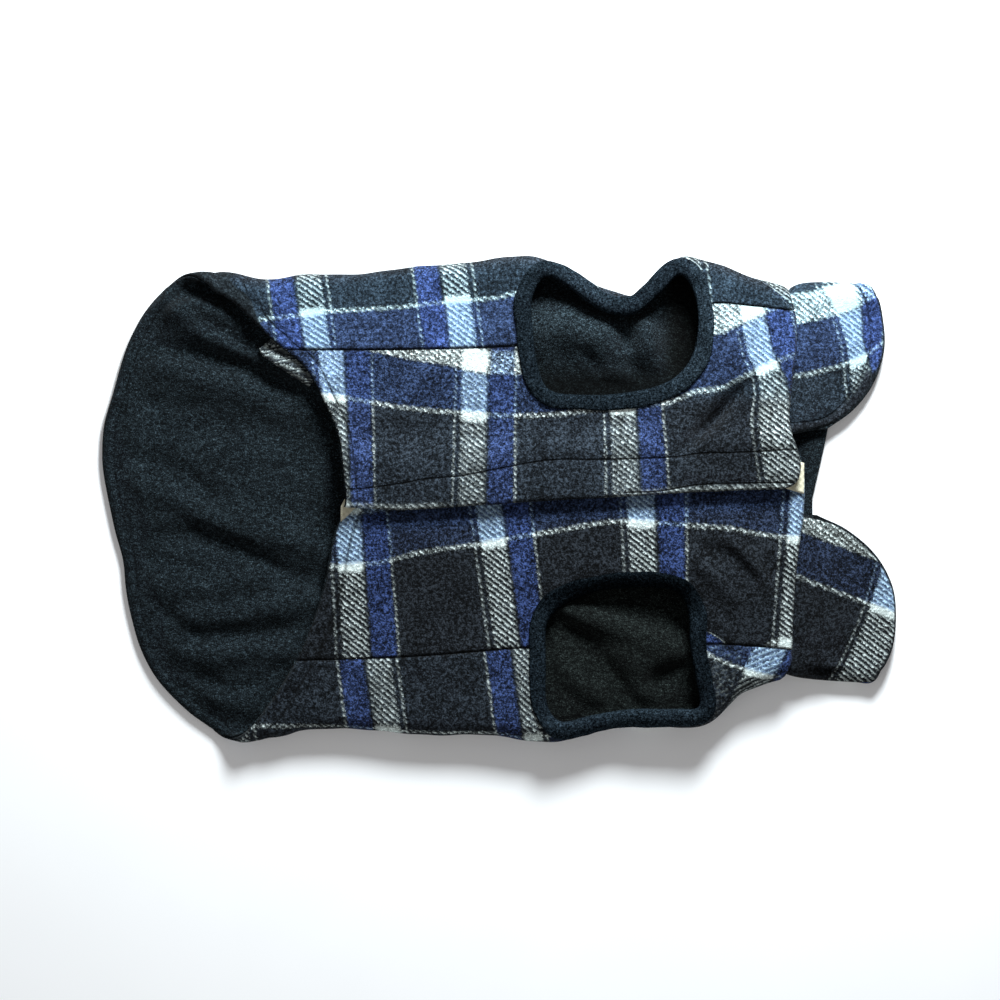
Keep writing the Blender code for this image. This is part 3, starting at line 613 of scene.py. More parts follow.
# %% Folds of the lining, on the tail flap and seen through the leg holes
BROAD_LINING_FOLDS = [
    ([(-164, 94), (-142, 80), (-122, 73), (-99, 63), (-86, 54)], 6.5, 5.5),
    ([(-91, -50), (-124, -57), (-156, -62)], 8.0, 3.6),
    ([(-84, -28), (-114, -15), (-142, -3)], 6.0, 2.2),
    ([(-104, -78), (-128, -96), (-142, -100)], 6.0, 2.4),
]
LIP_FOLDS = [
    ([(-190, 80), (-180, 93), (-168, 104), (-150, 110), (-138, 107), (-128, 100), (-118, 90)], 4.8, 4.8, 0.0),
    ([(-172, 95), (-162, 101), (-147, 105), (-136, 101), (-127, 92), (-119, 79), (-110, 72)], 2.6, -1.8, 0.5),
    ([(-164, 98), (-152, 98), (-142, 94), (-132, 86)], 5.5, 5.6, 0.0),
]
TAIL_FOLDS = [
    ([(-150, 90), (-138, 84), (-128, 78), (-116, 70)], 4.2, -1.8, 0.2),
    ([(-176, 76), (-156, 74), (-138, 69), (-120, 63), (-104, 56)], 4.2, -3.2, 0.3),
    ([(-176, 66), (-154, 62), (-126, 52), (-96, 42)], 7.0, 1.8, 0.0),
    ([(-184, 40), (-162, 36), (-134, 36), (-104, 30)], 6.0, -1.1, 0.0),
    ([(-188, 20), (-170, 18), (-150, 4), (-134, -8)], 5.5, -2.2, 0.2),
    ([(-182, 6), (-162, 0), (-142, -11), (-120, -21), (-94, -22)], 6.5, 1.9, 0.0),
    ([(-178, -20), (-152, -18), (-128, -26), (-104, -39), (-88, -42)], 4.5, -3.0, 0.3),
    ([(-184, -40), (-162, -45), (-138, -44), (-112, -34)], 6.0, 1.5, 0.0),
    ([(-172, -56), (-152, -68), (-132, -68), (-104, -64)], 5.0, -2.0, 0.2),
    ([(-164, -76), (-142, -80), (-120, -77), (-102, -75)], 5.0, 1.8, 0.0),
    ([(-152, -88), (-136, -96), (-122, -93), (-110, -84)], 4.0, -1.8, 0.3),
    ([(-192, 56), (-180, 50), (-166, 46), (-146, 46)], 4.0, -1.5, 0.1),
    ([(-190, -10), (-174, -30), (-160, -34)], 5.0, -1.0, 0.0),
]
HOLE_FOLDS = [
    ([(12, 84), (34, 86), (50, 82), (60, 74)], 13.5, 11.0, 0.0),
    ([(16, 108), (38, 107), (54, 101), (66, 93)], 3.5, -3.0, 0.2),
    ([(68, 96), (74, 84), (78, 70)], 6.5, 8.0, 0.0),
    ([(59, 94), (63, 84), (66, 72), (70, 60)], 3.4, -3.6, 0.2),
    ([(42, 74), (47, 70), (50, 64)], 3.0, -2.4, 0.1),
    ([(58, 68), (66, 66), (76, 62)], 3.4, -2.4, 0.1),
    ([(20, 58), (44, 54), (66, 54)], 6.0, -4.0, 0.0),
    ([(86, 104), (91, 86), (95, 66)], 6.0, -5.0, 0.0),
    ([(38, -47), (62, -53), (96, -61)], 5.5, -3.5, 0.1),
    ([(22, -51), (44, -60), (68, -68), (90, -75)], 6.5, 6.8, 0.0),
    ([(30, -60), (42, -70), (52, -82), (64, -100)], 3.6, -5.0, 0.25),
    ([(34, -84), (42, -94), (50, -100)], 6.0, 4.0, 0.0),
    ([(60, -76), (76, -80), (92, -82)], 8.0, 4.6, 0.0),
    ([(62, -79), (70, -90), (76, -102)], 7.0, 3.6, 0.0),
    ([(76, -93), (85, -88), (95, -84)], 4.2, -5.6, 0.2),
]


def lining_relief(x, y, hem, inside_share):
    """How far the lining stands off the shell. Its valleys flatten out where they would touch the shell."""
    tail_share = ease((-70.0 - x) / 20.0)
    raised = swell(BROAD_LINING_FOLDS, x, y) * ease((-74.0 - x) / 10.0) * ease(hem / 14.0)
    tail = 1.9 * relief(TAIL_FOLDS, x, y) + 0.6 * ripple(x, y, 2.6) + 2.2
    holes = relief(HOLE_FOLDS, x, y) + 0.3 * ripple(x, y, 5.1) + 0.8
    loose = (tail * tail_share + holes * (1 - tail_share)) * ease((hem - 3.0) / 10.0)
    lip = relief(LIP_FOLDS, x, y) * ease(hem / 5.0)
    total = (raised + loose * ease((hem - 5.0) / 14.0) + lip) * inside_share
    return np.log1p(np.exp(1.8 * (total + 0.35))) / 1.8 - 0.35


# %% The back's shell
rows = back_rows(16, 16, 52)
side, x, unfolded, hem, neck = back_layout(COLUMNS, rows, LINING_PEEP * 0.6)
grain = back_grain(side, x, unfolded)
x, unfolded, inside = open_leg_holes(side, x, unfolded)
above = unfolded < turn_start(side, x) + 0.5 * math.pi * turn_radius(side, x)
puff = np.where(above, 0.55 * hem_puff(hem), 0.0)
groove = stitch_groove(hem * np.where(side > 0, 1.0, LEFT_HEM) - HEM_STITCH) * ease((unfolded - 60) / 10.0)
outer_depth = edge_roll(hem, 2.2, 1.2) + edge_roll(neck, 3.0, 1.3) - puff + groove * np.where(above, 1.0, 0.5)
rest = ease((unfolded - turn_start(side, x) - 2.6 * turn_radius(side, x)) / 4.0)
outer_depth = outer_depth * (1 - 0.8 * rest)
outer = below_skin(side, x, unfolded, outer_depth)
inner = below_skin(side, x, unfolded, SHELL)
lip = np.where(side > 0, hem - 9.0 * ease((-116.0 - x) / 14.0), hem * LEFT_HEM)
top_strip = (side > 0) * ease((turn_start(side, x) + 12.0 - unfolded) / 12.0)
seam = unfolded - either(side, seam_right, seam_left, x)
# Painted light: the back's top strip on the right side is painted lighter, the rest of the back a little darker.
facts = {**grain, "hem": lip, "neck": neck, "seam": seam, "lap": x * 0 + NOWHERE, "lie": mix(0.90, 1.35, top_strip)}
back_cloth = cloth_wall("back_cloth", outer, inner, facts, cells_kept(inside))

# %% The back's lining
side, x, unfolded, hem, neck = back_layout(COLUMNS, rows, 0.0)
x, unfolded, inside = open_leg_holes(side, x, unfolded)
under = unfolded - turn_start(side, x) - math.pi * turn_radius(side, x)
under_share = ease(under / 8.0)
y = skin(side, x, unfolded)[..., 1]
raised = lining_relief(x, y, hem, under_share)
rim_puff = 0.6 * hem_puff(hem, 2.2) - stitch_groove(hem - HEM_STITCH, 0.9, 0.6)
roll = edge_roll(hem, 2.4, 1.0)
outer = below_skin(side, x, unfolded, SHELL + GAP + 0.3 * roll)
inner = below_skin(side, x, unfolded, WALL - roll + rim_puff)
outer[..., 2] += 0.75 * raised
inner[..., 2] += raised
inner[..., 2] = np.maximum(inner[..., 2], outer[..., 2] + 0.5 * (under_share > 0.5))

# %% Painted shade and light on the lining
# Inside the coat the lining carries painted shade, so it is darker than on the tail flap. In the right leg hole
# shade is painted along the lower and the neck-side rim, and light is painted on the hump between them.
painted_hole_shade = np.maximum(0.9 * ease((x - 80.0) / 9.0), 0.6 * ease((70.0 - y) / 14.0))
in_right_hole = ease((x - 10.0) / 8.0) * (1 - ease((x - 102.0) / 4.0)) * (y > 0)
painted_rim_shade = np.maximum(ease((67.0 - y) / 9.0), ease((x - 80.0) / 10.0))
painted_hump_light = ease((y - 66.0) / 8.0) * (1 - ease((y - 94.0) / 10.0)) * (1 - ease((x - 70.0) / 12.0))
facts = {
    "hem": hem, "neck": neck,
    "painted_shade": ease((x + 60.0) / 20.0) * np.where(y < 0, 1.0, painted_hole_shade),
    "pile": in_right_hole * (0.65 * painted_hump_light - 0.72 * painted_rim_shade),
}
back_lining_cloth = cloth_wall("back_lining_cloth", outer, inner, facts, cells_kept(inside))

# %% [markdown]
# ## The end of the side seam
# Where the right side seam meets the belly hem, the end of its allowance is folded under and peeps out as a small
# tab of plaid on the lining.


# %% Fold the seam's end
def make_seam_end():
    along, across = np.meshgrid(np.linspace(0, 1, 41), np.linspace(0, 1, 21), indexing="ij")
    hidden = np.stack([mix(-112.0, -90.0, along), mix(85.0, 62.0, along)], axis=-1)
    outer = np.stack([mix(-120.0, -95.0, along), mix(72.5, 56.0, along)], axis=-1)
    place = mix(hidden, outer, across[..., None])
    round_end = np.sqrt(np.clip(1 - (1 - np.clip(along / 0.12, 0, 1)) ** 2, 0, 1))
    place[..., 1] = mix(np.mean(place[..., 1], axis=1, keepdims=True), place[..., 1], 0.55 + 0.45 * round_end)
    bed = WALL + lining_relief(place[..., 0], place[..., 1], along * 0 + 60.0, 1.0)
    edge = np.minimum(np.minimum(across * 12 + 2, (1 - across) * 12), along * 24)
    crease = 0.5 * np.exp(-(((across - 0.45 - 0.2 * along) / 0.08) ** 2))
    lift = 0.5 + 0.8 * np.sin(math.pi * along)
    top = bed + lift + mix(2.6, 1.6, along) - edge_roll(edge, 1.8, 1.0) - crease
    face = np.stack([place[..., 0], place[..., 1], top], axis=-1)
    back = np.stack([place[..., 0], place[..., 1], bed + lift], axis=-1)
    wavy = along * 20 + across * 11 + 1.1 * np.sin(23 * along + 5 * across)
    far = along * 0 + NOWHERE
    facts = {"warp": 0.02 + 0.14 * across, "weft": along * 0 - 0.3, "twill": wavy / RIB}
    facts |= {"hem": far, "neck": far, "seam": far, "lap": far, "lie": along * 0 + 1}
    return cloth_wall("seam_end", face, back, facts)


seam_end = make_seam_end()

# %% [markdown]
# ## The two fronts
# The right front lies over the left one by 22 mm. Its free edge is turned and stitched, and the line where the
# hook tape is sewn on shows as a second groove. The left front runs on under it, flat, to carry the loop tape.

# %% Stitch lines of the placket
tape_line = curve_through([
    (-80, 4.5), (-68, 5.0), (-60, 6.0), (-49, 7.5), (-39, 9.5), (-29, 10.5), (-18, 11.5), (23, 19.0), (50, 19.5),
    (70, 20.0), (83, 20.5), (100, 22.5), (120, 23.0), (145, 24.5),
])
edge_line = curve_through([
    (-80, -2.5), (-49, -3.0), (-20, -1.0), (20, 1.4), (60, 3.0), (80, 3.8), (100, 7.0), (145, 8.0),
])


# %% Lay out a front
def front_layout(side, columns, rows, peep):
    share = np.linspace(0, 1, rows + 1)
    free = 0.0 if side == RIGHT else OVERLAP
    neck_edge = neck_right if side == RIGHT else neck_left

    def y_at(x):
        return mix(side * (either(side, seam_right, seam_left, x) - SEAM_GAP), lap_edge(x) + free, share)

    hem, neck = np.full(rows + 1, -90.0), np.full(rows + 1, 148.0)
    for _ in range(10):
        hem, neck = belly_hem(y_at(hem)), neck_edge(y_at(neck))
    x = mix(hem + peep, neck, np.linspace(0, 1, columns + 1)[:, None])
    return x, y_at(x)


def front_edges(side, x, y):
    """Distances to the hem, the neck, the side seam and the lap's free edge."""
    neck_edge = neck_right if side == RIGHT else neck_left
    hem, neck = from_edge(x, belly_hem, y), -from_edge(x, neck_edge, y)
    seam = np.abs(side * either(side, seam_right, seam_left, x) - y)
    lap = y - lap_edge(x) if side == RIGHT else x * 0 + NOWHERE
    return hem, neck, seam, lap


# %% Edges and stitch lines of a front
def front_depth(side, x, y, stitch):
    """How far the outer face sinks at its edges and stitch lines. The tape's stitches pucker the cloth."""
    hem, neck, seam, lap = front_edges(side, x, y)
    depth = edge_roll(hem, 2.2, 1.2) + edge_roll(neck, 3.2, 1.4)
    depth = depth + stitch_groove(stitch - HEM_STITCH) + stitch_groove(neck - 5.0, 0.9, 0.25)
    depth = depth + edge_roll(seam, 1.2, 0.7) - 0.5 * hem_puff(hem)
    if side == LEFT:
        return depth
    from_tape, pucker = y - tape_line(x), np.sin(x / 1.6) + 0.7 * np.sin(x / 2.7 + 1.0)
    depth = depth + edge_roll(lap, 2.4, 1.3) - 0.35 * np.exp(-(((lap - 8.0) / 5.0) ** 2))
    depth = depth + stitch_groove(from_tape, 0.9, 0.85) * ease((x + 78) / 8.0)
    depth = depth + 0.16 * pucker * np.exp(-((from_tape / 3.5) ** 2)) + 0.12 * pucker * np.exp(-((lap / 3.0) ** 2))
    return depth + stitch_groove(y - edge_line(x), 0.8, 0.6) * ease((x - 60) / 20.0)


def front_facts(side, x, y, stitch):
    """What the finish has to know of a front: its grain, its lines, its frayed edge and the light and shade painted on
    it.
    """
    _, neck, seam, lap = front_edges(side, x, y)
    facts = {**front_grain(side, x, y), "hem": stitch, "neck": neck, "seam": seam}
    by_edge = (x > 62) & (y < edge_line(x) + 4.0)
    facts["lap"] = y - np.where(by_edge, edge_line(x), tape_line(x)) if side == RIGHT else lap
    frayed = ease((x + 74) / 6) * ease((-22 - x) / 12) + ease((x - 62) / 10) * ease((150 - x) / 6)
    facts["fringe"] = frayed * np.exp(-(((lap - 1.3) / 1.1) ** 2))
    # Painted light and shade: the right front by the neck is lighter above y 46 and darker below. The left front is in
    # painted shade, lighter in a band just below the lap, which offsets the lap's shadow.
    by_neck, by_lap = ease((x - 74.0) / 28.0), ease((y - lap_edge(x) + 13.0) / 8.0)
    right_front_painted_light = 1.0 + by_neck * (0.2 * ease((y - 46.0) / 10.0) - 0.2 * ease((52.0 - y) / 10.0))
    facts["lie"] = right_front_painted_light if side == RIGHT else 0.72 + 0.40 * by_lap
    return facts


# %% Make the two fronts
def make_front(side, name, rows, rim):
    rise = LAP_RISE if side == RIGHT else 0.0
    x, y = front_layout(side, COLUMNS, rows, LINING_PEEP * 0.5)
    x, y, inside = cut_hole(x, y, hole_outline(rim), FRONT_CELL)
    stitch = from_edge(x, belly_hem, y) * (1.0 if side == RIGHT else LEFT_HEM)
    outer = below_skin(side, x, side * y, front_depth(side, x, y, stitch), rise)
    inner = below_skin(side, x, side * y, SHELL, rise)
    shell = cloth_wall(name + "_cloth", outer, inner, front_facts(side, x, y, stitch), cells_kept(inside))
    x, y = front_layout(side, COLUMNS, rows, 0.0)
    x, y, inside = cut_hole(x, y, hole_outline(rim), FRONT_CELL)
    hem, neck, _, _ = front_edges(side, x, y)
    roll = edge_roll(hem, 2.4, 0.9) + edge_roll(neck, 2.4, 0.9)
    outer = below_skin(side, x, side * y, SHELL + GAP + 0.3 * roll, rise)
    inner = below_skin(side, x, side * y, WALL - roll, rise)
    lining = cloth_wall(name + "_lining_cloth", outer, inner, {"hem": hem, "neck": neck}, cells_kept(inside))
    return shell, lining


right_cloth, right_lining_cloth = make_front(RIGHT, "right_front", 72, RIGHT_RIM)
left_cloth, left_lining_cloth = make_front(LEFT, "left_front", 76, LEFT_RIM)

# %% [markdown]
# ## Touch tape
# Both halves of the tape are hidden between the laps. Only the loop half shows, as a pale corner at the hem and a
# pale sliver at the neck. A strip is enough, but its edge is rounded a little so that it doesn't look like card.


# %% The two tapes
def tape_strip(name, low, high, bottom, start, finish):
    """A strip between low and high, counted from the lap's edge, that lies bottom above the skin."""
    along, across = np.meshgrid(np.linspace(0, 1, 181), np.linspace(0, 1, 15), indexing="ij")
    x = mix(start + 5.0 * ease((across - 0.25) / 0.3), finish, along)
    y = lap_edge(x) + mix(low(x), high(x), across)
    side = np.where(y >= 0, RIGHT, LEFT)
    edge = np.minimum(np.minimum(across, 1 - across) * TAPE_WIDTH, np.minimum(x - start, finish - x))
    roll = edge_roll(edge, 1.2, 0.35)
    top = below_skin(side, x, np.abs(y), -bottom - TAPE + roll)
    foot = below_skin(side, x, np.abs(y), -bottom - 0.5 * roll)
    return cloth_wall(name, top, foot, {"hem": edge, "along": x, "across": y})


loop_low = curve_through([(-81, -9.0), (-76, -4.5), (-71, 0.5), (-60, 2.5), (125, 2.5), (138, 1.5), (152, -2.5)])
loop_high = curve_through([(-81, 20.0), (120, 20.0), (152, 13.0)])
hook_low = curve_through([(-81, 2.5), (150, 2.5)])
hook_high = curve_through([(-81, 18.5), (150, 18.5)])
loop_strip = tape_strip("loop_strip", loop_low, loop_high, LOOSE, -79.0, 152.0)
hook_strip = tape_strip("hook_strip", hook_low, hook_high, 2 * LOOSE + TAPE, -72.0, 141.0)

# %% [markdown]
# ## Leg-hole bindings
# A strip of black fleece is wrapped round each raw edge and stitched down. Its section is a flattened loop. Fleece
# strip never lies quite even, so its width and height drift a little on the way round.


# %% Bind a hole
def binding_section():
    """The strip's section round the wall's edge: (out from the rim, depth below the skin)."""
    width, under = BINDING_WIDTH, WALL + LOOSE
    crown = []
    for k in range(9):
        round_over = math.sin(math.pi * (0.12 + 0.8 * k / 9))
        crown.append((width * (1 - k / 9), -GAP - BINDING * (0.35 + round_over)))
    nose = [(0.55 - 0.55 * math.cos(a), 0.5 * WALL - 0.62 * WALL * math.sin(a)) for a in (1.2, 0.6, 0.0, -0.6, -1.2)]
    return [(width + 0.2, -GAP + 0.2)] + crown + nose + [
        (0.2 * width, under + 0.8 * BINDING), (0.5 * width, under + BINDING), (0.8 * width, under + 0.7 * BINDING),
        (0.8 * width, under), (HOLE_CLEARANCE - 1.2, under), (HOLE_CLEARANCE - 1.2, -GAP + 0.2),
    ]


def make_binding(name, hole_side, rim, seed, shade, lit, stations=300):
    """shade paints shade on the strip's +Y side and light on the other one, lit paints light on its neck side."""
    loop = closed_curve(rim, stations)
    away = outward_of(loop)
    turn = np.arange(stations) / stations * 2 * math.pi
    wide = 1 + 0.05 * np.sin(3 * turn + seed) + 0.04 * np.sin(7 * turn + 2 * seed) + 0.02 * np.sin(17 * turn)
    high = 1 + 0.10 * np.sin(5 * turn + seed) + 0.10 * np.sin(11 * turn + seed) + 0.06 * np.sin(29 * turn)
    section = np.array(binding_section())
    reach = section[:, 0][None, :] * wide[:, None]
    depth = np.where(section[:, 1] < 0, section[:, 1][None, :] * high[:, None], section[:, 1][None, :])
    place = loop[:, None, :] + away[:, None, :] * reach[..., None]
    unfolded = hole_side * place[..., 1]
    room = ease((unfolded - turn_start(hole_side, place[..., 0]) + 6.0) / 6.0)
    depth = depth + np.where(depth < 0, -room, np.where(depth > WALL, 0.5 * room, 0.0))
    points = below_skin(hole_side, place[..., 0], unfolded, depth)
    bm = bmesh.new()
    rings = [[bm.verts.new(Vector(p) * MM) for p in ring] for ring in points]
    edges = [[bm.edges.new((ring[k], ring[(k + 1) % len(ring)])) for k in range(len(ring))] for ring in rings]
    for k in range(stations):
        bmesh.ops.bridge_loops(bm, edges=edges[k] + edges[(k + 1) % stations])
    lie = 1 - shade * (ease((away[:, 1] + 0.1) / 0.9) - ease(-away[:, 1] - 0.1)) + lit * ease(away[:, 0])
    return piece_from(name, bm, {"lie": np.repeat(lie, len(section))})


# Painted shade and light: the left strip is darker on its +Y side and lighter on the other, and the right strip is
# lighter on its neck side.
right_bound_edge = make_binding("right_bound_edge", RIGHT, RIGHT_RIM, 0.7, 0.0, 0.8)
left_bound_edge = make_binding("left_bound_edge", LEFT, LEFT_RIM, 2.1, 0.6, -0.25)

# %% [markdown]
# ## The collar
# The collar is a lined band. Its back half lies on the table; both front ends come up over soft turned edges and
# lie open as two round wings. Counting the share of the way from a front end to the centre of the back gives one
# walk along the band, and the share from neck to free edge gives the other.

# %% Collar marks
COLLAR_TURN = 4.3  # radius of its turned edges
COLLAR_UP, COLLAR_DOWN = 0.46, 0.58  # the shares between which the band turns over
COLLAR_HALF = 190.0  # from a front end to the centre of the back
COLLAR_STITCH = 7.0  # the wing's stitch line is this far from its rim
# Each mark is the share of that walk, then X, Y and the height of the free edge there.
COLLAR_RIGHT = [
    (0.0, 164.5, 35.5, 8.2), (0.1, 177.5, 44.5, 7.2), (0.2, 188.0, 58.0, 6.2), (0.3, 193.5, 75.0, 6.2),
    (0.4, 192.5, 91.5, 7.4), (0.46, 189.5, 101.5, 8.6), (0.58, 181.5, 101.5, 0.0), (0.68, 174.5, 81.0, 0.0),
    (0.78, 169.0, 57.0, 0.0), (0.89, 164.5, 31.0, 0.0), (1.0, 157.5, 0.0, 0.0),
]
COLLAR_LEFT = [
    (0.0, 159.5, -8.5, 8.6), (0.08, 174.5, -15.5, 7.8), (0.16, 189.0, -28.0, 6.0), (0.24, 197.5, -43.0, 4.6),
    (0.32, 199.5, -58.0, 4.6), (0.4, 197.5, -74.5, 6.6), (0.46, 191.5, -86.0, 8.6), (0.58, 183.5, -86.0, 0.0),
    (0.68, 174.0, -67.0, 0.0), (0.79, 165.0, -44.0, 0.0), (0.9, 158.5, -20.0, 0.0), (1.0, 157.5, 0.0, 0.0),
]
COLLAR_FOLDS = [
    ([(150, 84), (166, 80), (182, 78)], 8.0, 0.8, 0.0),
    ([(152, 60), (168, 56), (180, 60)], 7.0, -0.6, 0.0),
    ([(156, -34), (174, -44), (192, -54)], 8.0, 0.9, 0.0),
    ([(154, -60), (170, -66), (186, -74)], 7.0, -0.5, 0.0),
]


def collar_curves(marks):
    return [curve_through([(m[0], m[k]) for m in marks]) for k in (1, 2, 3)]


# %% One half of the collar
def collar_half(side, along, across):
    """Outer face of one half: along is 0 at the front end and 1 at the centre of the back, across is 0 at the neck."""
    edge_x, edge_y, edge_z = collar_curves(COLLAR_RIGHT if side > 0 else COLLAR_LEFT)
    neck_edge = neck_right if side > 0 else neck_left
    front, bulge = (31.5, 4.3) if side > 0 else (7.0, 2.2)
    # The neck seam runs up the belly side, round the turned edge and back along the table.
    start = turn_start(side, 142.0)
    up, down = along <= COLLAR_UP, along > COLLAR_DOWN
    share = np.clip((along - COLLAR_UP) / (COLLAR_DOWN - COLLAR_UP), 0, 1)
    y_up = mix(front, start, np.clip(along / COLLAR_UP, 0, 1))
    y_down = start * (1 - np.clip((along - COLLAR_DOWN) / (1 - COLLAR_DOWN), 0, 1))
    neck_turned = mix(neck_edge(side * start), neck_back(side * start), share)
    neck = np.where(up, neck_edge(side * y_up), np.where(down, neck_back(side * y_down), neck_turned))
    base = neck - NECK_TUCK
    turned_from, radius = turn_start(side, base), turn_radius(side, base)
    over = turned_from + math.pi * radius * share
    unfolded = np.where(up, y_up, np.where(down, 2 * turned_from + math.pi * radius - y_down, over))
    turned = ease((along - COLLAR_UP + 0.06) / 0.06) * ease((COLLAR_DOWN + 0.06 - along) / 0.06)
    seam = below_skin(side, base, unfolded, WALL + GAP + 0.6 * turned)
    seam[..., 1] -= side * turned * np.maximum(turned_from - turn_start(side, neck + 1.5), 0.0)
    # The free edge follows its marks, and rolls over where the band turns.
    edge = np.stack([edge_x(along), edge_y(along), np.where(along >= COLLAR_DOWN, 0.0, edge_z(along))], axis=-1)
    bend = (along > COLLAR_UP) & (along < COLLAR_DOWN)
    edge[..., 1] += np.where(bend, side * COLLAR_TURN * np.sin(math.pi * share), 0.0)
    edge[..., 2] = np.where(bend, COLLAR_TURN * (1 + np.cos(math.pi * share)), edge[..., 2])
    # Between the two the band clears the neck's edge, bulges beside the turn and drops to the free edge's height.
    clear = (neck + 1.5 - seam[..., 0]) / np.maximum(np.linalg.norm(edge - seam, axis=-1), 1.0)
    point = mix(seam, edge, across[..., None])
    past_neck = np.sqrt(np.clip((across - clear) / (1 - clear), 0, 1))
    near_turn = ease((along - COLLAR_UP + 0.12) / 0.12) * ease((COLLAR_DOWN + 0.14 - along) / 0.14)
    point[..., 1] += side * bulge * near_turn * np.sin(math.pi * past_neck)
    drop = np.where(along > COLLAR_UP, (across - clear) / 0.32, across / 0.8)
    point[..., 2] = mix(seam[..., 2], edge[..., 2], ease(drop))
    lift = relief(COLLAR_FOLDS, point[..., 0], point[..., 1]) + 0.3 * ripple(point[..., 0], point[..., 1], 4.0)
    point[..., 2] += np.where(up, lift * ease(across / 0.3) * ease((COLLAR_UP - along) / 0.06), 0.0)
    return point


def collar_at(along, across):
    """The whole collar: along is 0 at the right front end, 0.5 at the centre of the back, 1 at the left front end."""
    right = collar_half(RIGHT, np.clip(2 * along, 0, 1), across)
    left = collar_half(LEFT, np.clip(2 * (1 - along), 0, 1), across)
    return np.where((along <= 0.5)[..., None], right, left)


# %% Lay out the collar
along, across = np.meshgrid(np.linspace(0, 1, 261), np.linspace(0, 1, 47), indexing="ij")
step = 0.003
outward = np.cross(
    collar_at(along, np.minimum(across + 0.01, 1)) - collar_at(along, np.maximum(across - 0.01, 0)),
    collar_at(np.minimum(along + step, 1), across) - collar_at(np.maximum(along - step, 0), across),
)
outward /= np.linalg.norm(outward, axis=-1, keepdims=True)
face = collar_at(along, across)
x, y = face[..., 0], face[..., 1]
length = np.linalg.norm(collar_at(along, across * 0 + 1) - collar_at(along, across * 0), axis=-1)
free = (1 - across) * length
end = np.minimum(along, 1 - along) * 2 * COLLAR_HALF
rim = 0.5 * (free + end - np.sqrt((free - end) ** 2 + 90.0)) + 1.2 * np.exp(-((free - end) / 12.0) ** 2)
rim = np.clip(rim, 0.0, None)
half = np.where(along <= 0.5, RIGHT, LEFT)
share = np.where(half > 0, 2 * along, 2 * (1 - along))
wing = ease((COLLAR_DOWN - share) / 0.1)
depth = edge_roll(rim, 2.2, 1.1) - 0.5 * wing * np.exp(-(((rim - 3.2) / 2.4) ** 2))
depth = depth + wing * (half > 0) * stitch_groove(rim - COLLAR_STITCH)

# %% The collar's grain
# Each wing has its own thin white line and its own white stripe. Past the turned edge the plaid simply goes on.
WEFT_PER_MM = 0.01057
behind = share > 0.52
turned_y = np.where(half > 0, 98.0, -87.0)
beyond = np.where(behind, np.abs(turned_y - y), 0.0)
wing_line = curve_through([(146, 61.0), (160, 64.0), (175.5, 68.5), (184, 72.5), (193, 79.0)])
past_line = np.where(half > 0, y - wing_line(x), y - (-39.0 - 0.38 * (x - 150.5)))
weft_wing = past_line / np.where(past_line > 0, np.where(half > 0, 92.0, 82.0), 110.0)
weft_back = np.where(half > 0, 0.37, -0.55) + half * beyond * WEFT_PER_MM
right_start = curve_through([
    (40, 180.0), (57, 177.0), (68, 176.0), (79.5, 174.0), (92, 169.5), (102, 164.5), (110, 161.0),
])
right_size = curve_through([(40, 66.0), (57, 62.0), (79.5, 50.0), (92, 72.0), (102, 88.0)])
left_start = curve_through([(-95, 166.0), (-88, 170.5), (-70, 180.0), (-55, 186.0), (-40, 190.5), (-20, 196.0)])
past_start = x - mix(np.where(half > 0, right_start(y), left_start(y)), 170.0, ease((share - 0.5) / 0.3))
size = np.where((past_start > 0) & (share <= 0.5), np.where(half > 0, right_size(y), 112.0), 73.0)
plain_from = mix(6.0, -9.0, ease((x - 182.0) / 5.0))
facts = {
    "warp": past_start / size,
    "weft": np.where(behind, weft_back, weft_wing),
    "twill": (np.where(behind, turned_y + half * beyond, y) + RIB_SLOPE * x) / RIB,
    "hem": np.where(half > 0, rim * 0.86, np.minimum(rim, 4.5)),
    "neck": across * length + 2,
    "seam": x * 0 + NOWHERE,
    "lap": x * 0 + NOWHERE,
    # Painted light: the right wing is painted lighter, more so towards its top, and the left wing is in painted shade.
    "lie": np.where(half > 0, mix(1.16, 1.40, ease((y - 60.0) / 20.0)), 0.68),
    "plain": (half > 0) * ease((8.0 - rim) / 3.0) * ease((plain_from - past_line) / 4.0) * (share < 0.5),
}

# %% Make the collar's two layers
outer = face - outward * depth[..., None]
inner = face - outward * SHELL
collar_cloth = cloth_wall("collar_cloth", outer, inner, facts)
roll = edge_roll(rim, 2.4, 0.9)
outer = face - outward * (SHELL + GAP + 0.3 * roll)[..., None]
inner = face - outward * (WALL - roll)[..., None]
collar_lining_cloth = cloth_wall("collar_lining_cloth", outer, inner, {"hem": rim, "neck": across * length})

# %% [markdown]
# ## Shader helpers
# Nodes are easier to read as sums. `Wire` wraps a socket, so `1 - mask` adds the Math node that it means. Every
# other node comes from `Finish.node`.


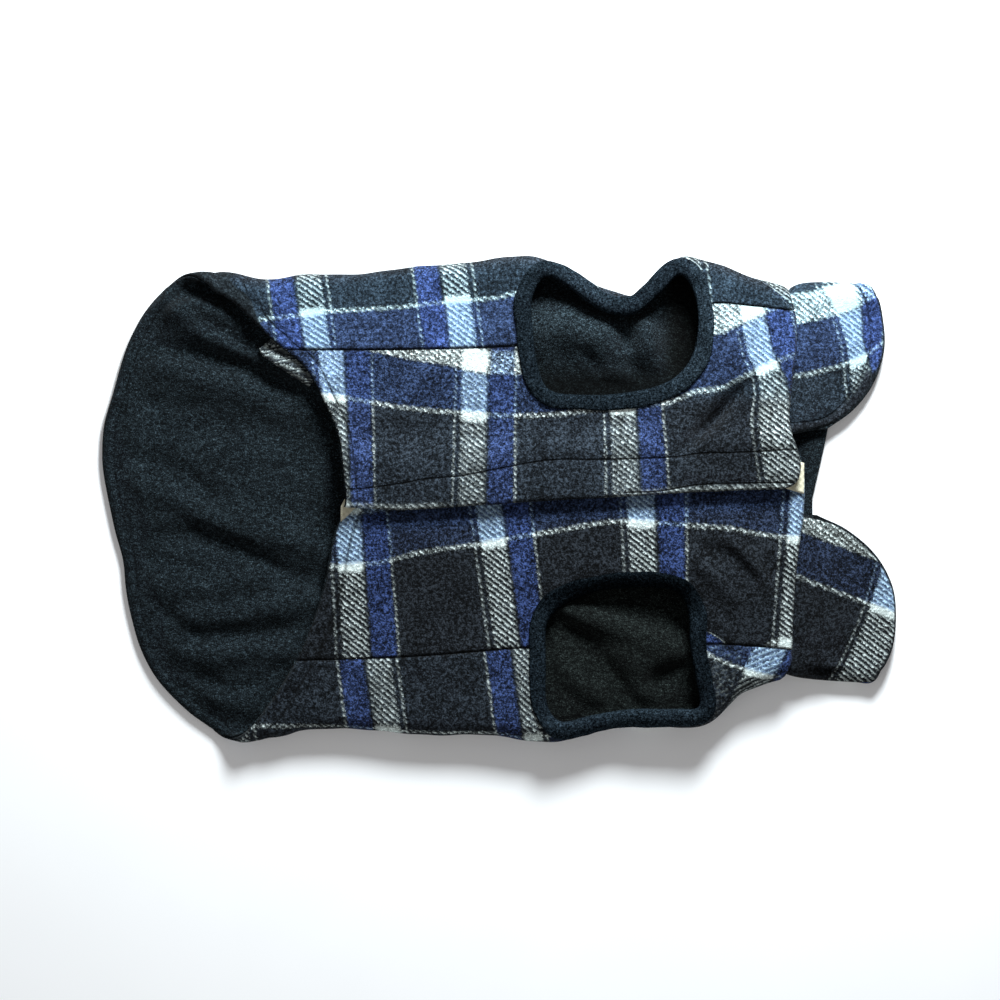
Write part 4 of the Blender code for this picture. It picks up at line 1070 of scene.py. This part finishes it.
# %% A small class for shader sums
class Wire:
    def __init__(self, finish, socket):
        self.finish, self.socket = finish, socket

    def join(self, operation, *others, clamp=False):
        values = [self.socket] + [o.socket if isinstance(o, Wire) else o for o in others]
        node = self.finish.node("ShaderNodeMath", {"operation": operation, "use_clamp": clamp}, dict(enumerate(values)))
        return Wire(self.finish, node.outputs[0])

    def __add__(self, other):
        return self.join("ADD", other)

    def __sub__(self, other):
        return self.join("SUBTRACT", other)

    def __rsub__(self, other):
        node = self.finish.node("ShaderNodeMath", {"operation": "SUBTRACT"}, {0: other, 1: self.socket})
        return Wire(self.finish, node.outputs[0])

    def __mul__(self, other):
        return self.join("MULTIPLY", other)

    __radd__, __rmul__ = __add__, __mul__

    def __abs__(self):
        return self.join("ABSOLUTE")

    def repeat(self):
        return self.join("FRACT")

    def clamp(self):
        return self.join("ADD", 0.0, clamp=True)

    def largest(self, other):
        return self.join("MAXIMUM", other)

    def band(self, low, high, soft):
        """1 between low and high, with soft edges of that width."""
        rise = self.join("MULTIPLY_ADD", 1 / soft, 0.5 - low / soft, clamp=True)
        fall = self.join("MULTIPLY_ADD", -1 / soft, 0.5 + high / soft, clamp=True)
        return rise * fall


class Finish:
    """One material, with the few nodes that every fleece here needs."""

    def __init__(self, name, roughness, sheen):
        self.material = bpy.data.materials.new(name)
        self.material.use_nodes = True
        self.tree = self.material.node_tree
        self.shader = self.tree.nodes["Principled BSDF"]
        self.shader.inputs["Roughness"].default_value = roughness
        self.shader.inputs["Sheen Weight"].default_value = sheen
        self.shader.inputs["Sheen Roughness"].default_value = 0.6
        self.shader.inputs["Specular IOR Level"].default_value = 0.03
        place = self.node("ShaderNodeTexCoord", {}, {})
        self.place = place.outputs["Object"]

    def node(self, kind, settings, inputs):
        made = self.tree.nodes.new(kind)
        for key, value in settings.items():
            setattr(made, key, value)
        for key, value in inputs.items():
            if isinstance(value, Wire):
                value = value.socket
            if isinstance(value, bpy.types.NodeSocket):
                self.tree.links.new(value, made.inputs[key])
            else:
                made.inputs[key].default_value = value
        return made

    def fact(self, name):
        return Wire(self, self.node("ShaderNodeAttribute", {"attribute_name": name}, {}).outputs["Fac"])

    def line(self, name, half_width, at=0.0):
        """1 where the fact is at, and 0 from half_width away from it."""
        return 1 - abs(self.fact(name) - at).join("MULTIPLY", 1 / half_width, clamp=True)

    def noise(self, size, detail=3.0, stretch=(1, 1, 1), rough=0.55):
        """Noise with features of about that size in millimetres."""
        scaled = self.node("ShaderNodeMapping", {}, {"Vector": self.place, "Scale": [s / (size * MM) for s in stretch]})
        made = self.node("ShaderNodeTexNoise", {}, {
            "Vector": scaled.outputs[0], "Scale": 1.0, "Detail": detail, "Roughness": rough})
        return Wire(self, made.outputs["Fac"])

    def blend(self, first, second, mask):
        made = self.node("ShaderNodeMix", {"data_type": "RGBA"}, {0: mask, 6: first, 7: second})
        return made.outputs[2]

    def shade(self, colour, factor):
        """Colour times a number."""
        made = self.node("ShaderNodeVectorMath", {"operation": "SCALE"}, {0: colour, "Scale": factor})
        return made.outputs[0]

    def bump(self, height, distance):
        made = self.node("ShaderNodeBump", {}, {"Height": height, "Distance": distance * MM, "Strength": 1.0})
        self.tree.links.new(made.outputs[0], self.shader.inputs["Normal"])

    def colour(self, socket):
        self.tree.links.new(socket, self.shader.inputs["Base Color"])


# %% [markdown]
# ## Plaid fleece
# The cloth is a printed and brushed fleece. The plaid is drawn as it would be woven: along the coat run white and
# royal blue stripes with a thin white line at each side of the pair, and across them run a wide white band, a navy
# band and one thin white line. Where a white stripe meets the other thread, diagonal ribs of the two show. Brushing
# blurs every edge a little and leaves a fine pile, which is the noise in the colour and in the bump.

# %% Colours of the plaid
CHARCOAL = (0.0110, 0.0136, 0.0170, 1)
# Painted light: a lit copy of the charcoal, and a copy with a painted cold sheen.
PAINTED_LIT_CHARCOAL = (0.0132, 0.0176, 0.0232, 1)
PAINTED_SHEEN_CHARCOAL = (0.0122, 0.0200, 0.0285, 1)
NAVY = (0.0160, 0.0265, 0.0580, 1)
# A shaded copy of the navy, painted shade.
PAINTED_SHADE_NAVY = (0.0152, 0.0225, 0.0430, 1)
ROYAL = (0.0225, 0.0395, 0.1150, 1)
WHITE = (0.58, 0.66, 0.64, 1)
SKY = (0.122, 0.215, 0.39, 1)
PALE_BLUE = (0.36, 0.54, 0.70, 1)
# A white with a painted cold sheen.
PAINTED_SHEEN_WHITE = (0.46, 0.63, 0.67, 1)
TURNED_IN = (0.0075, 0.0105, 0.0125, 1)  # the very edge, where the pile turns to the lining

# %% Threads and ribs
plaid = Finish("plaid fleece", 0.98, 0.03)
nap = plaid.noise(1.7, 4.0, rough=0.65)
pile = plaid.noise(0.8, 2.0)
clouds = plaid.noise(14.0, 2.0)
wander = (plaid.noise(1.6, 3.0) - 0.5) * 0.036
warp = (plaid.fact("warp") + wander).repeat()
weft = (plaid.fact("weft") + wander * 0.8).repeat()
ribs = (plaid.fact("twill") + (nap - 0.5) * 1.2 + (pile - 0.5) * 0.5).repeat()
rib = ribs.band(0.32, 0.68, 0.26)
dash = ribs.band(0.30, 0.70, 0.3)

# %% Stripes along the coat and bands across it
white_stripe = warp.band(0.0, 0.168, 0.022).largest(warp.band(1.0, 1.2, 0.022))
royal_stripe = warp.band(0.192, 0.352, 0.022)
thin_lines = warp.band(0.359, 0.373, 0.014).largest(warp.band(0.950, 0.964, 0.014))
navy_band = weft.band(0.008, 0.277, 0.022)
white_band = weft.band(0.283, 0.445, 0.022)
thin_band = weft.band(-0.02, 0.010, 0.014).largest(weft.band(0.990, 1.1, 0.014))
wide_knot = weft.band(-0.02, 0.024, 0.02).largest(weft.band(0.968, 1.1, 0.02))

# %% Dye each thread
# The pile's painted light and shade: about 0.7 where shade is painted, 1 as brushed, and more where a painted sheen is
# laid on.
lie = plaid.fact("lie")
painted_sheen = (lie - 1.0).join("MULTIPLY", 2.8, clamp=True)
painted_lit = (lie - 0.72).join("MULTIPLY", 3.5, clamp=True)
painted_lit_no_sheen = painted_lit * (1 - painted_sheen)
charcoal = plaid.blend(plaid.blend(CHARCOAL, PAINTED_LIT_CHARCOAL, painted_lit), PAINTED_SHEEN_CHARCOAL, painted_sheen)
ground = plaid.blend(charcoal, plaid.blend(PAINTED_SHADE_NAVY, NAVY, painted_lit), navy_band)
royal_dyed = plaid.blend(ground, ROYAL, royal_stripe * (0.78 + 0.12 * painted_lit - 0.34 * painted_lit_no_sheen))
cross_white = (white_band * (0.20 + 0.58 * rib)).largest(thin_band * (0.10 + 0.52 * dash))
cross_white = cross_white * (1 - royal_stripe * 0.4)
white_with_painted_sheen = plaid.blend(WHITE, PAINTED_SHEEN_WHITE, painted_sheen)
weft_colour = plaid.blend(royal_dyed, plaid.blend(white_with_painted_sheen, PALE_BLUE, royal_stripe * 0.8), cross_white)
rib_white = 0.62 - 0.30 * painted_lit_no_sheen
white_amount = white_stripe * (0.01 + 0.02 * painted_lit_no_sheen + navy_band * 0.40 + (rib_white - navy_band * 0.12) * rib)
white_amount = white_amount.largest(thin_lines * (0.05 + 0.38 * dash))
white_amount = white_amount.largest(white_stripe * white_band * 0.97).largest(white_stripe * wide_knot * 0.92)
white_amount = white_amount.largest(thin_lines * thin_band * 0.85)
on_navy = plaid.blend(SKY, PALE_BLUE, rib)
white_amount = white_amount.largest(plaid.fact("fringe") * (0.15 + 0.5 * dash))
stripe_white = plaid.blend(white_with_painted_sheen, on_navy, navy_band * 0.85)
printed = plaid.blend(plaid.blend(weft_colour, stripe_white, white_amount), CHARCOAL, plaid.fact("plain").clamp())

# %% Stitch lines, nap mottling with painted light and shade, and edges
dark_lines = plaid.line("hem", 0.75, HEM_STITCH) * 0.68
for name, half_width, amount in (("lap", 0.7, 0.8), ("seam", 1.1, 0.65), ("neck", 1.2, 0.5)):
    dark_lines = dark_lines.largest(plaid.line(name, half_width) * amount)
fibres = nap * 0.50 + pile * 0.38 + clouds * 0.12
# The nap's mottling, scaled by the pile's painted light and shade.
nap_and_painted_light = (fibres * 2.0).join("POWER", 14.0 - lie * 5.4).join("MINIMUM", 3.6) * (0.70 + lie * 0.11) * lie
nap_and_painted_light = nap_and_painted_light + (1 - nap_and_painted_light) * white_amount * (0.7 + 0.25 * painted_sheen)
rimmed = (plaid.fact("hem") - 0.35).join("MULTIPLY", 1.4, clamp=True)
edged = plaid.blend(TURNED_IN, printed, rimmed)
plaid.colour(plaid.shade(edged, nap_and_painted_light * (1 - dark_lines)))
plaid.bump(nap * 0.65 + pile * 0.35 - dark_lines * 0.8, 0.8)

# %% [markdown]
# ## Black fleece
# The lining and the bindings are the same black fleece. Its pile lies along the coat, so its grain is longer that
# way, and it catches a little cold light on its pills.

# %% Black fleece
black = Finish("black fleece", 0.98, 0.025)
grain_noise = black.noise(1.2, 4.0, stretch=(0.6, 1, 1), rough=0.7)
pills = black.noise(3.2, 2.0, stretch=(0.6, 1, 1))
fluff = black.noise(0.6, 1.0)
coat_of_fibres = grain_noise * 0.5 + pills * 0.12 + fluff * 0.38
specks = (fluff - 0.60).join("MULTIPLY", 9.0, clamp=True)
hem_line = black.line("hem", 0.8, HEM_STITCH)
black_tone = black.blend((0.0052, 0.0082, 0.0104, 1), (0.0062, 0.0091, 0.0107, 1), pills)
# Painted shade: inside the coat the lining is blended towards a darker, greyer black.
black_tone = black.blend(black_tone, (0.0043, 0.0057, 0.0054, 1), black.fact("painted_shade"))
black_shade = (coat_of_fibres * 2.0).join("POWER", 7.4) * 0.93 + specks * 1.8
# The pile fact is painted light on the right hole's hump and painted shade along its rims.
black_shade = black_shade * (1 - hem_line * 0.5) * (1 + black.fact("pile"))
black.colour(black.shade(black_tone, black_shade))
black.bump(grain_noise * 0.6 + pills * 0.35 + fluff * 0.35, 0.6)

# %% [markdown]
# The bindings show the same fleece, but cut on a narrow strip, where the pile stands up more and looks smoother.

# %% Binding fleece
bound = Finish("binding fleece", 0.98, 0.0)
bound.shader.inputs["Specular IOR Level"].default_value = 0.0
strip_noise = bound.noise(1.4, 3.0, rough=0.65)
strip_fluff = bound.noise(0.7, 2.0)
strip_shade = ((strip_noise * 0.6 + strip_fluff * 0.4) * 2.0).join("POWER", 4.8)
# The strip's colour is scaled by its painted light and shade.
bound.colour(bound.shade((0.0060, 0.0092, 0.0122), strip_shade * bound.fact("lie")))
bound.bump(strip_noise * 0.7 + strip_fluff * 0.3, 0.4)

# %% [markdown]
# ## Touch tape
# Woven nylon tape, off-white. A fine cross weave is enough at this size.

# %% Tape weave
tape = Finish("touch tape", 0.82, 0.2)
threads = (tape.fact("along") * 1.6).join("SINE") * (tape.fact("across") * 1.9).join("SINE")
tape_noise = tape.noise(0.8, 3.0)
tape_tone = tape.blend((0.46, 0.43, 0.29, 1), (0.72, 0.69, 0.54, 1), (threads * 0.25 + tape_noise).clamp())
tape.colour(tape_tone)
tape.bump(threads * 0.4 + tape_noise * 0.6, 0.25)

# %% [markdown]
# ## Dress the frame
# Every solid has its cloth now. Each one rides on the one body, stands for its solid, and gets its material.

# %% Finish, ride and replace
dressed = [
    (back_cloth, "back_shell", plaid, "plaid_fleece"),
    (back_lining_cloth, "back_lining", black, "black_fleece"),
    (right_cloth, "right_front_shell", plaid, "plaid_fleece"),
    (right_lining_cloth, "right_front_lining", black, "black_fleece"),
    (left_cloth, "left_front_shell", plaid, "plaid_fleece"),
    (left_lining_cloth, "left_front_lining", black, "black_fleece"),
    (collar_cloth, "collar_shell", plaid, "plaid_fleece"),
    (collar_lining_cloth, "collar_lining", black, "black_fleece"),
    (right_bound_edge, "right_leg_binding", bound, "black_fleece"),
    (left_bound_edge, "left_leg_binding", bound, "black_fleece"),
    (loop_strip, "loop_tape", tape, "touch_tape"),
    (hook_strip, "hook_tape", tape, "touch_tape"),
]
seam_end.data.materials.append(plaid.material)
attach(seam_end, "root")
for piece, node, finish, slot in dressed:
    piece.data.materials.append(finish.material)
    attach(piece, "root")
    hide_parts(node)

# %% [markdown]
# ## The table
# The table is a plain pale sheet that glows a very little, so the coat's shadow on it stays soft.

# %% Lay the table
bm = bmesh.new()
bmesh.ops.create_grid(bm, x_segments=2, y_segments=2, size=3.0)
table_mesh = bpy.data.meshes.new("table_top")
bm.to_mesh(table_mesh)
bm.free()
table_top = bpy.data.objects.new("table_top", table_mesh)
bpy.context.scene.collection.objects.link(table_top)
table_finish = Finish("pale table", 0.9, 0.0)
paper = table_finish.noise(60.0, 2.0)
table_finish.colour(table_finish.blend((0.86, 0.86, 0.86, 1), (0.90, 0.90, 0.90, 1), paper))
table_mesh.materials.append(table_finish.material)
table_finish.shader.inputs["Emission Color"].default_value = (1.0, 1.0, 1.0, 1)
table_finish.shader.inputs["Emission Strength"].default_value = 0.08

# %% [markdown]
# A wall has two faces, so half of its mesh area is the cloth's area.


# %% [markdown]
# ## Light and camera
# One soft lamp stands beyond the coat's right side and a little towards the neck, and the room fills the rest. The
# camera looks straight down with a long lens, so that height hardly shifts anything.

# %% Light
world = bpy.data.worlds.new("room")
world.use_nodes = True
world.node_tree.nodes["Background"].inputs[0].default_value = (0.98, 0.98, 1.0, 1)
world.node_tree.nodes["Background"].inputs[1].default_value = 0.25
bpy.context.scene.world = world
bpy.context.scene.view_settings.view_transform = "Standard"


def soft_lamp(name, place, size, power, tint):
    lamp = bpy.data.lights.new(name, "AREA")
    lamp.shape, lamp.size, lamp.energy, lamp.color = "DISK", size, power, tint
    holder = bpy.data.objects.new(name, lamp)
    holder.location = place
    holder.rotation_euler = (-Vector(place)).to_track_quat("-Z", "Y").to_euler()
    bpy.context.scene.collection.objects.link(holder)


soft_lamp("window", (0.17, 0.58, 0.43), 0.26, 14.8, (0.91, 0.98, 1.02))
soft_lamp("fill", (-0.7, -0.7, 1.2), 1.2, 2.0, (1.0, 0.98, 0.95))

# %% Camera
FRAME_WIDTH, LENS, SENSOR, MIDDLE_HEIGHT = 0.5, 120.0, 36.0, 0.012
camera_data = bpy.data.cameras.new("overhead")
camera_data.lens, camera_data.sensor_width = LENS, SENSOR
camera = bpy.data.objects.new("overhead", camera_data)
camera.location = (0.0005, -0.0005, MIDDLE_HEIGHT + FRAME_WIDTH * LENS / SENSOR)
bpy.context.scene.collection.objects.link(camera)
bpy.context.scene.camera = camera

# %% Finish
bpy.context.view_layer.update()
